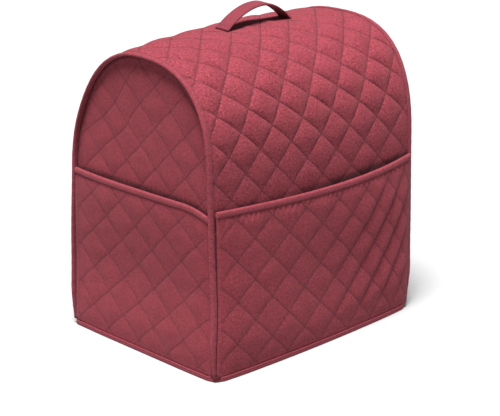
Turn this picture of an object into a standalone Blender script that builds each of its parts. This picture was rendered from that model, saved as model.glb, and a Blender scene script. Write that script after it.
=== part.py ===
"""Quilted fabric cover for a stand mixer, standing on its hem.

Units are metres and +Z is up. X runs along the long sides, Y from the side with the big pocket
(y < 0) to the plain side, and the end with the small pocket is at x < 0.

Every panel is drawn flat, in (u, v): on the gusset u is x and v is the arc length measured from
the ridge of the arch, negative towards the front hem; on the other panels u and v are the plain
width and height. The stitched diamonds are a lattice on that flat drawing. A panel is then placed
in space by its own function, and one drape moves all the pieces alike.
"""
import bisect
from math import atan2, copysign, cos, hypot, pi, sin

import bmesh
import bpy
from mathutils import Vector
from mathutils.geometry import delaunay_2d_cdt

# The body, to the stitch lines
LENGTH = 0.366
WIDTH = 0.2600
BODY_TOP = 0.3925
SPRING_HEIGHT = 0.2500
SQUARENESS = 2.60
RIM_DEPTH = 0.0085
END_X = LENGTH / 2 - RIM_DEPTH

# The cloth
CLOTH = 0.0022
SEAM_CLOTH = 0.0016
TAPE = 0.0010
GAP = 0.0004
CROWN_TOP = 0.0034
CROWN_SIDE = 0.0026
CROWN_END = 0.0017
CROWN_BEHIND = 0.0010
GUSSET_BOW = 0.0075
BOW_PEAK_X = -0.065
BOW_POWER_NEAR = 2.6
BOW_POWER_FAR = 1.3
BOW_FRONT = (-0.110, 0.030)
BOW_BACK = (0.100, 0.220)
HIGH_DIAMONDS_FADE = (0.12, 0.24)
PAD_MARGIN = 0.0045
PAD_RISE = 0.0130
INNER_MARGIN = 0.0100
SEAM_FADE = 0.0120
PAD_POWER = 0.6

# The stitched diamonds, from centre to corner
DIAMOND_U = 0.0261
DIAMOND_V = 0.0260
END_DIAMOND_U = 0.0276
GUSSET_ORIGIN = (0.0092, -0.1920)
GUSSET_SHIFT = -0.016
GUSSET_SHIFT_REACH = 0.090
END_ORIGIN = (0.002, 0.330)
POCKET_ORIGIN = (-0.004, 0.170)
END_POCKET_ORIGIN = (0.006, 0.172)
POCKET_DIAMOND_U = 0.0285
POCKET_DIAMOND_V = 0.0268
POCKET_CROWDING = 0.00080
POCKET_SAG = 0.0100
POCKET_LOWEST_X = 0.0200

# The hem tape
HEM_TOP = 0.0068
HEM_FLOOR = 0.0012
HEM_RADII = (0.018, 0.014, 0.014, 0.010)
HEM_IN = CLOTH + GAP
POCKET_STAND = 0.0008
POCKET_EDGE = 0.0018
HEM_OUT = GAP
HEM_OUT_POCKET = POCKET_STAND + POCKET_EDGE + GAP
NOTCH_X = 0.1590
NOTCH_Y = 0.1145
LOW_WALL = 0.072
PANEL_FOOT = HEM_FLOOR + GAP
NOTCH_FOOT = HEM_TOP + GAP
SEAM_FOOT = HEM_TOP + 0.0022
GROOVE_RADII = (0.011, 0.008, 0.008, 0.005)
HEM_ROUNDING = 0.0008

# The arch binding that stands out as a rim
RIM_OUTER = 0.0004
RIM_INNER = 0.0022
RIM_START = END_X + 0.0008
PAD_SIDE = RIM_START - 0.0006
RIM_TUCK = 0.0048
RIM_TUCK_REACH = 0.060
RIM_CHAMFER_X = 0.0014
RIM_CHAMFER = 0.0004
GUSSET_EDGE = LENGTH / 2 - TAPE - 0.0010
PANEL_INSET = CLOTH + 0.0005
PANEL_SEAM = CLOTH + 0.0060

# The pockets
POCKET_END_Z = 0.2195
POCKET_MID_Z = 0.2150
POCKET_HALF = RIM_START - 0.0008
POCKET_MOUTH = 0.0028
POCKET_GAPE = 0.0068
GAPE_UNEVEN = 0.35
GAPE_TURN = 9.0
PUCKER = 0.0050
END_POCKET_Z = 0.2210
END_POCKET_DIP = 0.0100
END_POCKET_HALF = WIDTH / 2 - RIM_INNER - TAPE - 0.0005
END_POCKET_GAPE = 0.0050
CROWN_POCKET = 0.0023
CROWN_END_POCKET = 0.0016
TAPE_LEG = 0.0060
BEHIND_POCKET = (0.222, 0.250)
BEHIND_END_POCKET = (0.235, 0.260)
POCKET_CLEAR = CROWN_BEHIND + 0.0010
POCKET_RISE = (0.006, 0.050)
POCKET_SIDE_FADE = 0.030
POCKET_OPENS_AT = 0.070
END_POCKET_OPENS_AT = 0.090
END_DIP_WIDTH = 0.034
PUCKER_TURN = 0.75
PUCKER_ACROSS = (0.045, 0.120)
PUCKER_LOW = (0.020, 0.060)
PUCKER_HIGH = (0.170, 0.204)
PUCKER_SIDE_FADE = 0.020

# The carrying strap
STRAP_MIDDLE = 0.0225
STRAP_BACK = 0.0040
STRAP_HALF = 0.0590
STRAP_WIDTH = 0.0220
STRAP_CLOTH = 0.0030
STRAP_RISE = 0.0234
STRAP_PEAK = 0.12
STRAP_FOOT = 0.0035
STRAP_NARROWING = 0.04
STRAP_ROUNDNESS = 0.80
STRAP_MARGIN = 0.002
STRAP_PRESS = 0.020

# The drape
LEAN_NEAR = -0.0025
LEAN_FAR = 0.0030
LEAN_REACH = (0.240, 0.360)
FRONT_FOOT_NEAR = 0.0062
FRONT_FOOT_FAR = 0.0020
FRONT_FOOT_REACH = (0.020, 0.180)
FRONT_BULGE = 0.0060
BACK_BULGE = 0.0020
BULGE_REACH = (0.150, 0.330)
BACK_LEAN = -0.0010
BACK_BELLY = 0.0096
BELLY_REACH = (0.080, 0.260)
SHOULDER_SAG = 0.130
SHOULDER_CENTRE_Z = 0.262
SHOULDER_ARC = (-0.244, 1.571)
SHOULDER_POWER = 1.8
SHOULDER_ALONG = (-0.080, 0.170)
FLARE_NEAR = 0.0048
FLARE_FAR = 0.0030
FLARE_ALONG = (0.100, 0.172)
FLARE_HEIGHT = 0.110
CORNER_PULL = 0.0010
CORNER_PULL_HEIGHT = 0.060
CORNER_REACH = 0.060
WAVE = 0.0009
WAVE_TURNS_X = (21.0, 9.0)
WAVE_TURNS_Y = (19.0, 14.0)
WAVE_TURNS_Z = (17.0, 11.0)

# The flat end of a folded tape, as faces between the ten corners of its section
FOLD_CAP = ((0, 1, 2, 9), (2, 3, 9), (3, 4, 8, 9), (4, 5, 8), (5, 6, 7, 8))


def ease(low, high, value):
    """A smooth step from 0 at low to 1 at high."""
    t = min(1.0, max(0.0, (value - low) / (high - low)))
    return t * t * (3.0 - 2.0 * t)


def front_out(x, z):
    """How far the front wall hangs out of its plain section."""
    along = x / LENGTH + 0.5
    out = (LEAN_NEAR + (LEAN_FAR - LEAN_NEAR) * along) * (1.0 - ease(*LEAN_REACH, z))
    foot = FRONT_FOOT_NEAR + (FRONT_FOOT_FAR - FRONT_FOOT_NEAR) * along
    return out + foot * (1.0 - ease(*FRONT_FOOT_REACH, z)) + FRONT_BULGE * bulge(x, z)


def back_out(x, z):
    """How far the plain back wall hangs out of its plain section."""
    out = BACK_LEAN * (1.0 - ease(*LEAN_REACH, z)) + BACK_BULGE * bulge(x, z)
    return out + BACK_BELLY * (1.0 - ease(*BELLY_REACH, z))


def bulge(x, z):
    return (1.0 - (x / (LENGTH / 2)) ** 2) * (1.0 - ease(*BULGE_REACH, z))


def end_flare(x, z):
    """How far both ends spread outwards, down to the hem."""
    spread_out = FLARE_NEAR if x < 0.0 else FLARE_FAR
    return spread_out * ease(*FLARE_ALONG, abs(x)) * (1.0 - ease(0.0, FLARE_HEIGHT, z))


def shoulder_sag(x, y, z):
    """How much the near end's back shoulder slumps in, as a share of the way to its centre."""
    first, last = SHOULDER_ARC
    turn = (atan2(z - SHOULDER_CENTRE_Z, y) - first) / (last - first)
    if y <= 0.0 or not 0.0 < turn < 1.0:
        return 0.0
    return SHOULDER_SAG * sin(pi * turn) ** SHOULDER_POWER * ease(*SHOULDER_ALONG, -x)


def drape(x, y, z):
    """The way the whole cover hangs: its walls lean and belly out, and its hem spreads."""
    sag = shoulder_sag(x, y, z)
    y, z = y * (1.0 - sag), z - (z - SHOULDER_CENTRE_Z) * sag
    out = front_out(x, z) if y < 0.0 else back_out(x, z)
    low = 1.0 - ease(0.0, CORNER_PULL_HEIGHT, z)
    corner = ease(LENGTH / 2 - CORNER_REACH, LENGTH / 2, abs(x))
    corner *= ease(WIDTH / 2 - CORNER_REACH, WIDTH / 2, abs(y))
    pull = CORNER_PULL * corner * low
    wave = WAVE * (1.0 - low)
    new_x = x + copysign(end_flare(x, z) - pull, x)
    new_x += wave * sin(WAVE_TURNS_X[0] * z + WAVE_TURNS_X[1] * y)
    new_y = y * (1.0 + out / (WIDTH / 2)) - copysign(pull, y)
    new_y += wave * sin(WAVE_TURNS_Y[0] * x + WAVE_TURNS_Y[1] * z)
    new_z = z + wave * sin(WAVE_TURNS_Z[0] * x + WAVE_TURNS_Z[1] * y)
    return Vector((new_x, new_y, new_z))


def arch_table(steps=1200):
    """Arc lengths and points of half the arch, from its ridge down to where the wall begins."""
    points = []
    for k in range(steps + 1):
        angle = pi / 2 * (1.0 - k / steps)
        y = WIDTH / 2 * max(0.0, cos(angle)) ** (2.0 / SQUARENESS)
        z = SPRING_HEIGHT + (BODY_TOP - SPRING_HEIGHT) * sin(angle) ** (2.0 / SQUARENESS)
        points.append((y, z))
    points[0] = (0.0, BODY_TOP)
    lengths = [0.0]
    for (y0, z0), (y1, z1) in zip(points, points[1:]):
        lengths.append(lengths[-1] + hypot(y1 - y0, z1 - z0))
    return lengths, points


ARCH_LENGTHS, ARCH_POINTS = arch_table()
ARCH = ARCH_LENGTHS[-1]


def arch_point(distance):
    """A point of half the section, at an arc length from the ridge."""
    if distance >= ARCH:
        return WIDTH / 2, SPRING_HEIGHT - (distance - ARCH)
    k = max(1, bisect.bisect_left(ARCH_LENGTHS, distance))
    t = (distance - ARCH_LENGTHS[k - 1]) / (ARCH_LENGTHS[k] - ARCH_LENGTHS[k - 1])
    (y0, z0), (y1, z1) = ARCH_POINTS[k - 1], ARCH_POINTS[k]
    return y0 + (y1 - y0) * t, z0 + (z1 - z0) * t


def section(v):
    """The cover's section at arc length v: the point y, z and its outward normal."""
    side = 1.0 if v >= 0 else -1.0
    distance = abs(v)
    y, z = arch_point(distance)
    reach = 0.002
    yb, zb = arch_point(distance + reach)
    ya, za = arch_point(abs(distance - reach))
    if distance < reach:
        ya = -ya
    size = hypot(yb - ya, zb - za)
    return side * y, z, side * -(zb - za) / size, (yb - ya) / size


def wall_arc(z):
    """The arc length from the ridge, without its sign, of a point of a straight wall."""
    return ARCH + SPRING_HEIGHT - z


def rim_tuck(v):
    """How much narrower the rim is at arc length v, towards its foot above the hem."""
    return RIM_TUCK * (1.0 - ease(0.0, RIM_TUCK_REACH, section(v)[1]))


def on_gusset(x, v, out):
    y, z, ny, nz = section(v)
    return drape(x, y + ny * out, z + nz * out)


def on_front(x, z, out):
    return drape(x, -WIDTH / 2 - out, z)


def on_end(side):
    """The placing function of an end panel, at x < 0 with side -1 and at x > 0 with side +1."""
    def place(y, z, out):
        return drape(side * (END_X + out), y, z)
    return place


def pillow(p, q):
    """The rise of a diamond's padding: 0 on the stitch lines, at whole p or q, and 1 mid-way."""
    return abs(sin(pi * p) * sin(pi * q)) ** PAD_POWER


def lattice_points(to_flat, reach, step):
    """Lattice points as {(i, j): (u, v)}, step half diagonals apart, within the given reach."""
    points = {}
    for i in range(-reach, reach + 1, step):
        for j in range(-reach, reach + 1, step):
            points[(i, j)] = to_flat(i / 2.0, j / 2.0)
    return points


def inside(point, outline):
    u, v = point
    odd = False
    for (u0, v0), (u1, v1) in zip(outline, outline[1:] + outline[:1]):
        if (v0 > v) != (v1 > v) and u < u0 + (u1 - u0) * (v - v0) / (v1 - v0):
            odd = not odd
    return odd


def distance_to(point, outline):
    """The distance from a point to the nearest edge of an outline."""
    p = Vector(point)
    nearest = 1.0
    for a, b in zip(outline, outline[1:] + outline[:1]):
        start, run = Vector(a), Vector(b) - Vector(a)
        t = min(1.0, max(0.0, (p - start).dot(run) / run.length_squared))
        nearest = min(nearest, (p - start - run * t).length)
    return nearest


def fill_outline(outline, interior, lines):
    """Triangles over an outline and the points within it, which keep the given lines as edges."""
    points = [Vector(p) for p in outline + interior]
    count = len(outline)
    edges = [(k, (k + 1) % count) for k in range(count)] + lines
    flat, _, faces, origins, _, _ = delaunay_2d_cdt(points, edges, [], 1, 1e-7)
    first = [original[0] if original else None for original in origins]
    return flat, faces, first


def make_material(name, colour, roughness):
    material = bpy.data.materials.new(name)
    material.use_nodes = True
    shader = material.node_tree.nodes["Principled BSDF"]
    shader.inputs["Base Color"].default_value = (*colour, 1.0)
    shader.inputs["Roughness"].default_value = roughness
    shader.inputs["Metallic"].default_value = 0.0
    return material


def add_object(name, bm, material):
    """Turn a bmesh into an object of the cover's collection, under its frame."""
    mesh = bpy.data.meshes.new(name)
    bm.to_mesh(mesh)
    bm.free()
    mesh.materials.append(material)
    mesh.shade_smooth()
    mesh.set_sharp_from_angle(angle=pi / 5)
    piece = bpy.data.objects.new(name, mesh)
    bpy.data.collections["mixer_cover"].objects.link(piece)
    piece.parent = bpy.data.objects["frame"]
    return piece


def quilted_panel(name, material, outline, seam, to_flat, place, crown, under, cloth, fine=1,
                  reach=44):
    """A padded sheet: its outer face rises in diamonds, and its inner face follows in wide facets.

    The padding starts at the seam, a line a little inside the outline. to_flat turns lattice steps
    into (u, v). place(u, v, out) gives the point in space. crown(u, v) is the height of a diamond
    there, under(u, v) how far the sheet's stitched face stands out, and cloth(u, v) its thickness
    at the stitches.
    """
    kept = {}
    for key, point in lattice_points(to_flat, reach, fine).items():
        if inside(point, seam) and distance_to(point, seam) > PAD_MARGIN:
            kept[key] = point
    base = len(outline) + len(seam)
    index = {key: base + n for n, key in enumerate(kept)}
    lines = [(len(outline) + k, len(outline) + (k + 1) % len(seam)) for k in range(len(seam))]
    for (i, j), number in index.items():
        if (i + j) % (2 * fine) == 0:
            for other in ((i + fine, j + fine), (i + fine, j - fine)):
                if other in index:
                    lines.append((number, index[other]))
    keys = list(kept)
    flat, faces, first = fill_outline(outline, seam + list(kept.values()), lines)
    bm = bmesh.new()
    outer = []
    edge_outer = {}
    for n, point in enumerate(flat):
        u, v = point
        origin = first[n]
        rise = 0.0
        if origin >= base:
            i, j = keys[origin - base]
            rise = crown(u, v) * pillow((i + j) / 4.0, (i - j) / 4.0)
            rise *= ease(0.0, PAD_RISE, distance_to((u, v), seam))
        vertex = bm.verts.new(place(u, v, under(u, v) + rise))
        outer.append(vertex)
        if origin < len(outline):
            edge_outer[origin] = vertex
    for face in faces:
        bm.faces.new([outer[n] for n in face])
    wide = []
    for (i, j), point in lattice_points(to_flat, reach, 2).items():
        if i % 4 == 0 and inside(point, outline) and distance_to(point, outline) > INNER_MARGIN:
            wide.append(point)
    flat, faces, first = fill_outline(outline, wide, [])
    inner = []
    edge_inner = {}
    for n, point in enumerate(flat):
        u, v = point
        vertex = bm.verts.new(place(u, v, under(u, v) - cloth(u, v)))
        inner.append(vertex)
        if first[n] < len(outline):
            edge_inner[first[n]] = vertex
    for face in faces:
        bm.faces.new([inner[n] for n in reversed(face)])
    count = len(outline)
    for k in range(count):
        after = (k + 1) % count
        bm.faces.new((edge_outer[after], edge_outer[k], edge_inner[k], edge_inner[after]))
    bmesh.ops.triangulate(bm, faces=[face for face in bm.faces if len(face.verts) > 3])
    bmesh.ops.recalc_face_normals(bm, faces=bm.faces)
    return add_object(name, bm, material)


def swept_tape(name, material, sections, closed):
    """A tape through a row of like sections, folded with two flat ends, or closed into a ring."""
    bm = bmesh.new()
    rings = [[bm.verts.new(point) for point in ring] for ring in sections]
    last = len(rings) if closed else len(rings) - 1
    for k in range(last):
        near, far = rings[k], rings[(k + 1) % len(rings)]
        for n in range(len(near)):
            after = (n + 1) % len(near)
            bm.faces.new((near[n], near[after], far[after], far[n]))
    if not closed:
        for corners in FOLD_CAP:
            bm.faces.new([rings[0][n] for n in reversed(corners)])
            bm.faces.new([rings[-1][n] for n in corners])
    bmesh.ops.triangulate(bm, faces=bm.faces)
    bmesh.ops.recalc_face_normals(bm, faces=bm.faces)
    return add_object(name, bm, material)


def spread(start, end, step):
    """Evenly spaced values from start to end, both included, at most a step apart."""
    count = max(1, round(abs(end - start) / step + 0.499))
    return [start + (end - start) * k / count for k in range(count + 1)]


def seam_rows(foot):
    """Arc lengths of the points along a seam, hem to hem, closer together where it bends."""
    straight = spread(ARCH, wall_arc(LOW_WALL), 0.031)[1:]
    low = spread(wall_arc(LOW_WALL), wall_arc(foot), 0.0135)[1:]
    rows = spread(0.0, ARCH, 0.0135) + straight + low
    return [-v for v in reversed(rows)] + rows[1:]


def notched_foot(half, notch, low, high):
    """The lower edge of a panel, left to right, cut back at both ends for the hem's corners."""
    edge = [(u, high) for u in spread(-half, -notch, 0.014)]
    edge += [(u, low) for u in spread(-notch, notch, 0.027)]
    return edge + [(u, high) for u in spread(notch, half, 0.014)]


def gusset_outline():
    rows = seam_rows(NOTCH_FOOT)
    half = GUSSET_EDGE - rim_tuck(rows[0])
    front = notched_foot(half, NOTCH_X, -wall_arc(PANEL_FOOT), rows[0])
    back = [(u, -v) for u, v in reversed(front)]
    right = [(GUSSET_EDGE - rim_tuck(v), v) for v in rows[1:-1]]
    left = [(-u, v) for u, v in reversed(right)]
    return front + right + back + left


def gusset_seam():
    """Where the bindings stop and the padding begins."""
    rows = seam_rows(SEAM_FOOT)
    front = [(u, rows[0]) for u in spread(-PAD_SIDE, PAD_SIDE, 0.027)]
    back = [(u, -v) for u, v in reversed(front)]
    right = [(PAD_SIDE, v) for v in rows[1:-1]]
    left = [(-PAD_SIDE, v) for v in reversed(rows[1:-1])]
    return front + right + back + left


def gusset_flat(i, j):
    v = GUSSET_ORIGIN[1] + j * DIAMOND_V
    shift = GUSSET_SHIFT * ease(GUSSET_ORIGIN[1], GUSSET_ORIGIN[1] + GUSSET_SHIFT_REACH, v)
    return GUSSET_ORIGIN[0] + shift + i * DIAMOND_U, v


def gusset_crown(x, v):
    """High diamonds on top, lower ones on the walls, pressed flat by the pocket and the strap."""
    height = CROWN_SIDE + (CROWN_TOP - CROWN_SIDE) * (1.0 - ease(*HIGH_DIAMONDS_FADE, abs(v)))
    low, high = BEHIND_POCKET
    if v < 0.0:
        height += (CROWN_BEHIND - height) * (1.0 - ease(low, high, section(v)[1]))
    along = abs(x - STRAP_MIDDLE)
    foot_start, foot_end = STRAP_HALF - STRAP_FOOT, STRAP_HALF + STRAP_MARGIN
    foot = ease(foot_start - STRAP_PRESS, foot_start - STRAP_PRESS / 2, along)
    foot *= 1.0 - ease(foot_end, foot_end + STRAP_PRESS, along)
    foot_edge = STRAP_WIDTH / 2 + STRAP_MARGIN
    foot *= 1.0 - ease(foot_edge, foot_edge + STRAP_PRESS, abs(v - STRAP_BACK))
    return height * (1.0 - foot)


def gusset_under(x, v):
    """How far the gusset puffs out between its two seams, most of all behind the ridge."""
    reach, power = PAD_SIDE - BOW_PEAK_X, BOW_POWER_FAR
    if x < BOW_PEAK_X:
        reach, power = PAD_SIDE + BOW_PEAK_X, BOW_POWER_NEAR
    along = max(0.0, 1.0 - (abs(x - BOW_PEAK_X) / reach) ** power)
    return GUSSET_BOW * along * ease(*BOW_FRONT, v) * (1.0 - ease(*BOW_BACK, v))


def gusset_cloth(x, v):
    edge = GUSSET_EDGE - rim_tuck(v) - abs(x)
    return SEAM_CLOTH + (CLOTH - SEAM_CLOTH) * ease(0.0, SEAM_FADE, edge)


def arch_points(inset, foot):
    """Points of an end panel's arch, right to left, an inset inside the gusset's outer face."""
    arch = []
    for v in reversed(seam_rows(foot)[1:-1]):
        y, z, ny, nz = section(v)
        arch.append((y - ny * inset, z - nz * inset))
    return arch


def end_outline():
    """An arch a little inside the gusset, which turns over the panel's edge."""
    foot = notched_foot(WIDTH / 2 - PANEL_INSET, NOTCH_Y, PANEL_FOOT, NOTCH_FOOT)
    return foot + arch_points(PANEL_INSET, NOTCH_FOOT)


def end_seam():
    half = WIDTH / 2 - PANEL_SEAM
    foot = [(u, SEAM_FOOT) for u in spread(-half, half, 0.027)]
    return foot + arch_points(PANEL_SEAM, SEAM_FOOT)


def end_flat(i, j):
    return END_ORIGIN[0] + i * END_DIAMOND_U, END_ORIGIN[1] + j * DIAMOND_V


def end_crown(behind):
    """The height of an end panel's diamonds, pressed flat where a pocket covers them."""
    def height(y, z):
        if behind:
            return CROWN_BEHIND + (CROWN_END - CROWN_BEHIND) * ease(*BEHIND_END_POCKET, z)
        return CROWN_END
    return height


def pocket_flat(i, j):
    """Diamonds that hang lower in the middle and crowd together towards the far end."""
    x = POCKET_ORIGIN[0] + POCKET_DIAMOND_U * i - POCKET_CROWDING * max(0.0, i) ** 2
    return x, POCKET_ORIGIN[1] + j * POCKET_DIAMOND_V + pocket_sag(x)


def pocket_sag(x):
    """How much higher a row of diamonds sits at x than at its lowest point."""
    return POCKET_SAG * ((x - POCKET_LOWEST_X) / POCKET_HALF) ** 2


def pocket_rim(x):
    return POCKET_MID_Z + (POCKET_END_Z - POCKET_MID_Z) * (x / POCKET_HALF) ** 2


def pocket_stand(x, z):
    """How far the front pocket's inner face stands off the wall."""
    mouth = ease(POCKET_OPENS_AT, pocket_rim(x) - TAPE_LEG, z)
    swell = POCKET_GAPE * (1.0 - abs(x / POCKET_HALF) ** 3) * (1.0 + GAPE_UNEVEN * sin(GAPE_TURN * x))
    return stand_off(POCKET_HALF - abs(x), z, mouth, swell)


def stand_off(from_side, z, mouth, swell):
    """A pocket lies near the wall low down and at its sides, and opens towards its mouth."""
    full = POCKET_CLEAR * ease(*POCKET_RISE, z) * ease(0.0, POCKET_SIDE_FADE, from_side)
    return POCKET_STAND + full * (1.0 - mouth) + (POCKET_MOUTH + swell) * mouth


def pocket_pucker(x, z):
    """Slanting folds where the pocket is gathered, each one steep on its far side."""
    i = 0.0
    for _ in range(8):
        crowding = POCKET_CROWDING * max(0.0, i) ** 2
        i = (x - POCKET_ORIGIN[0] + crowding) / POCKET_DIAMOND_U
    j = (z - POCKET_ORIGIN[1] - pocket_sag(x)) / POCKET_DIAMOND_V
    t = (i - j) / 2.0 % 1.0
    tooth = ease(0.0, PUCKER_TURN, t) * (1.0 - ease(PUCKER_TURN, 1.0, t))
    side = ease(*PUCKER_ACROSS, x) * ease(0.0, PUCKER_SIDE_FADE, POCKET_HALF - x)
    height = ease(*PUCKER_LOW, z) * (1.0 - ease(*PUCKER_HIGH, z))
    return PUCKER * tooth * side * height


def pocket_under(x, z):
    return pocket_stand(x, z) + pocket_cloth(x, z) + pocket_pucker(x, z)


def pocket_cloth(x, z):
    edge = min(POCKET_HALF - abs(x), pocket_rim(x) - z, z)
    return POCKET_EDGE + (CLOTH - POCKET_EDGE) * ease(0.004, 0.016, edge)


def pocket_crown(x, z):
    return CROWN_POCKET


def pocket_outline(half, notch, rim, low_side):
    foot = notched_foot(half, notch, PANEL_FOOT, NOTCH_FOOT)
    right = [(half, z) for z in spread(NOTCH_FOOT, rim(half), 0.0145)[1:-1]]
    left = [(-half, z) for z in reversed(spread(NOTCH_FOOT, rim(-half), 0.0145)[1:-1])]
    top = [(u, rim(u)) for u in reversed(rim_columns(half, low_side))]
    return foot + right + top + left


def pocket_seam(half, rim, low_side):
    """The padding's border on a pocket, below its rim tape and inside its side seams."""
    side = half - 0.005
    foot = [(u, SEAM_FOOT) for u in spread(-side, side, 0.027)]
    drop = TAPE_LEG + 0.0008
    right = [(side, z) for z in spread(SEAM_FOOT, rim(side) - drop, 0.0145)[1:-1]]
    left = [(-side, z) for z in reversed(spread(SEAM_FOOT, rim(-side) - drop, 0.0145)[1:-1])]
    top = [(u, rim(u) - drop) for u in reversed(rim_columns(side, low_side))]
    return foot + right + top + left


def rim_columns(half, low_side):
    """Places along a pocket's rim, closer together at a side where the rim dips."""
    if low_side:
        return spread(-half, -half + 0.036, 0.0065) + spread(-half + 0.036, half, 0.022)[1:]
    return spread(-half, half, 0.0135)


def end_pocket_rim(y):
    low = 1.0 - ease(-END_POCKET_HALF, -END_POCKET_HALF + END_DIP_WIDTH, y)
    return END_POCKET_Z - END_POCKET_DIP * low


def end_pocket_stand(y, z):
    mouth = ease(END_POCKET_OPENS_AT, end_pocket_rim(y) - TAPE_LEG, z)
    swell = END_POCKET_GAPE * (1.0 - abs(y / END_POCKET_HALF) ** 3)
    return stand_off(END_POCKET_HALF - abs(y), z, mouth, swell)


def end_pocket_cloth(y, z):
    edge = min(END_POCKET_HALF - abs(y), end_pocket_rim(y) - z, z)
    return POCKET_EDGE + (CLOTH - POCKET_EDGE) * ease(0.004, 0.016, edge)


def end_pocket_under(y, z):
    return end_pocket_stand(y, z) + end_pocket_cloth(y, z)


def end_pocket_flat(i, j):
    return END_POCKET_ORIGIN[0] + i * END_DIAMOND_U, END_POCKET_ORIGIN[1] + j * DIAMOND_V


def make_arch_binding(name, side, material):
    """Tape folded over the seam of gusset and end panel, standing out as a rim all round."""
    low, high = -RIM_INNER, RIM_OUTER
    sections = []
    for v in seam_rows(NOTCH_FOOT):
        out = LENGTH / 2 - rim_tuck(v)
        profile = [
            (RIM_START, high), (RIM_START, high + TAPE), (out - RIM_CHAMFER_X, high + TAPE),
            (out, high - RIM_CHAMFER), (out, low + RIM_CHAMFER), (out - RIM_CHAMFER_X, low - TAPE),
            (RIM_START, low - TAPE), (RIM_START, low), (out - TAPE, low), (out - TAPE, high),
        ]
        sections.append([on_gusset(side * x, v, n) for x, n in profile])
    return swept_tape(name, material, sections, closed=False)


def rounded_outline(near, far, front, back, radii, corner_steps=5):
    """A rounded rectangle seen from above, counter-clockwise from its front left corner."""
    corners = []
    for n, (x, y) in enumerate(((near, front), (far, front), (far, back), (near, back))):
        inward_x, inward_y = copysign(radii[n], -x), copysign(radii[n], -y)
        corners.append((x + inward_x, y + inward_y, radii[n], pi + n * pi / 2))
    path = []
    for n, (x, y, radius, start) in enumerate(corners):
        for k in range(corner_steps + 1):
            angle = start + pi / 2 * k / corner_steps
            path.append((x + radius * cos(angle), y + radius * sin(angle)))
        ahead_x, ahead_y, ahead_radius, turn = corners[(n + 1) % 4]
        first = path[-1]
        last = (ahead_x + ahead_radius * cos(turn), ahead_y + ahead_radius * sin(turn))
        count = 12 if n % 2 == 0 else 8
        for k in range(1, count):
            t = k / count
            path.append((first[0] + (last[0] - first[0]) * t, first[1] + (last[1] - first[1]) * t))
    return path


def make_hem_tape(name, material):
    """Tape folded over the lower edge of the walls and the pockets; the cover stands on it."""
    half_x, half_y = END_X, WIDTH / 2
    outer = (half_x + HEM_OUT_POCKET + TAPE, half_x + HEM_OUT + TAPE,
             half_y + HEM_OUT_POCKET + TAPE, half_y + HEM_OUT + TAPE)
    inner = [size - HEM_IN for size in (half_x, half_x, half_y, half_y)]
    rings = (
        (outer, HEM_RADII, 0.0, HEM_TOP), (outer, HEM_RADII, 0.0, HEM_ROUNDING),
        (outer, HEM_RADII, HEM_ROUNDING, 0.0), (inner, GROOVE_RADII, TAPE, 0.0),
        (inner, GROOVE_RADII, TAPE, HEM_TOP), (inner, GROOVE_RADII, 0.0, HEM_TOP),
        (inner, GROOVE_RADII, 0.0, HEM_FLOOR), (outer, HEM_RADII, TAPE, HEM_FLOOR),
        (outer, HEM_RADII, TAPE, HEM_TOP),
    )
    loops = []
    for sizes, radii, inset, z in rings:
        near, far, front, back = [size - inset for size in sizes]
        outline = rounded_outline(-near, far, -front, back, [radius - inset for radius in radii])
        loops.append([drape(x, y, z) for x, y in outline])
    return swept_tape(name, material, list(zip(*loops)), closed=True)


def make_rim_tape(name, material, place, half, low_side, rim, stand, cloth):
    """Tape folded over the upper edge of a pocket."""
    sections = []
    for u in rim_columns(half, low_side):
        top = rim(u)
        depth = top - TAPE_LEG
        low = stand(u, top)
        high = low + cloth(u, top)
        low_deep = stand(u, depth)
        high_deep = low_deep + cloth(u, depth)
        ring = [
            (depth, high_deep + GAP), (depth, high_deep + GAP + TAPE), (top, high + GAP + TAPE),
            (top + GAP + TAPE, high), (top + GAP + TAPE, low), (top, low - GAP - TAPE),
            (depth, low_deep - GAP - TAPE), (depth, low_deep - GAP), (top + GAP, low - GAP),
            (top + GAP, high + GAP),
        ]
        sections.append([place(u, z, out) for z, out in ring])
    return swept_tape(name, material, sections, closed=False)


def make_handle(name, material):
    """A flat strap sewn down at both ends, which stands up as a low loop."""
    bm = bmesh.new()
    long_steps, wide_steps = 28, 4
    bmesh.ops.create_grid(bm, x_segments=long_steps, y_segments=wide_steps, size=1.0)
    loop = 1.0 - STRAP_FOOT / STRAP_HALF
    for vertex in bm.verts:
        t, w, _ = vertex.co
        x = STRAP_MIDDLE + STRAP_HALF * t
        share = (t - STRAP_PEAK) / (loop + STRAP_PEAK if t < STRAP_PEAK else loop - STRAP_PEAK)
        rise = max(0.0, cos(pi / 2 * min(1.0, abs(share)))) ** STRAP_ROUNDNESS
        v = STRAP_BACK + w * STRAP_WIDTH / 2 * (1.0 - STRAP_NARROWING * rise)
        out = gusset_under(x, v) + GAP + STRAP_CLOTH / 2 + STRAP_RISE * rise
        vertex.co = on_gusset(x, v, out)
    strap = add_object(name, bm, material)
    wall = strap.modifiers.new("thickness", "SOLIDIFY")
    wall.thickness = STRAP_CLOTH
    wall.offset = 0.0
    return strap


def centre_frame(frame, pieces):
    """Move the frame so that the middle of the cover's footprint is at the origin."""
    graph = bpy.context.evaluated_depsgraph_get()
    corners = []
    for piece in pieces:
        mesh = piece.evaluated_get(graph).to_mesh()
        corners += [piece.matrix_world @ vertex.co for vertex in mesh.vertices]
    for axis in (0, 1):
        values = [corner[axis] for corner in corners]
        frame.location[axis] = -(min(values) + max(values)) / 2


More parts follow.
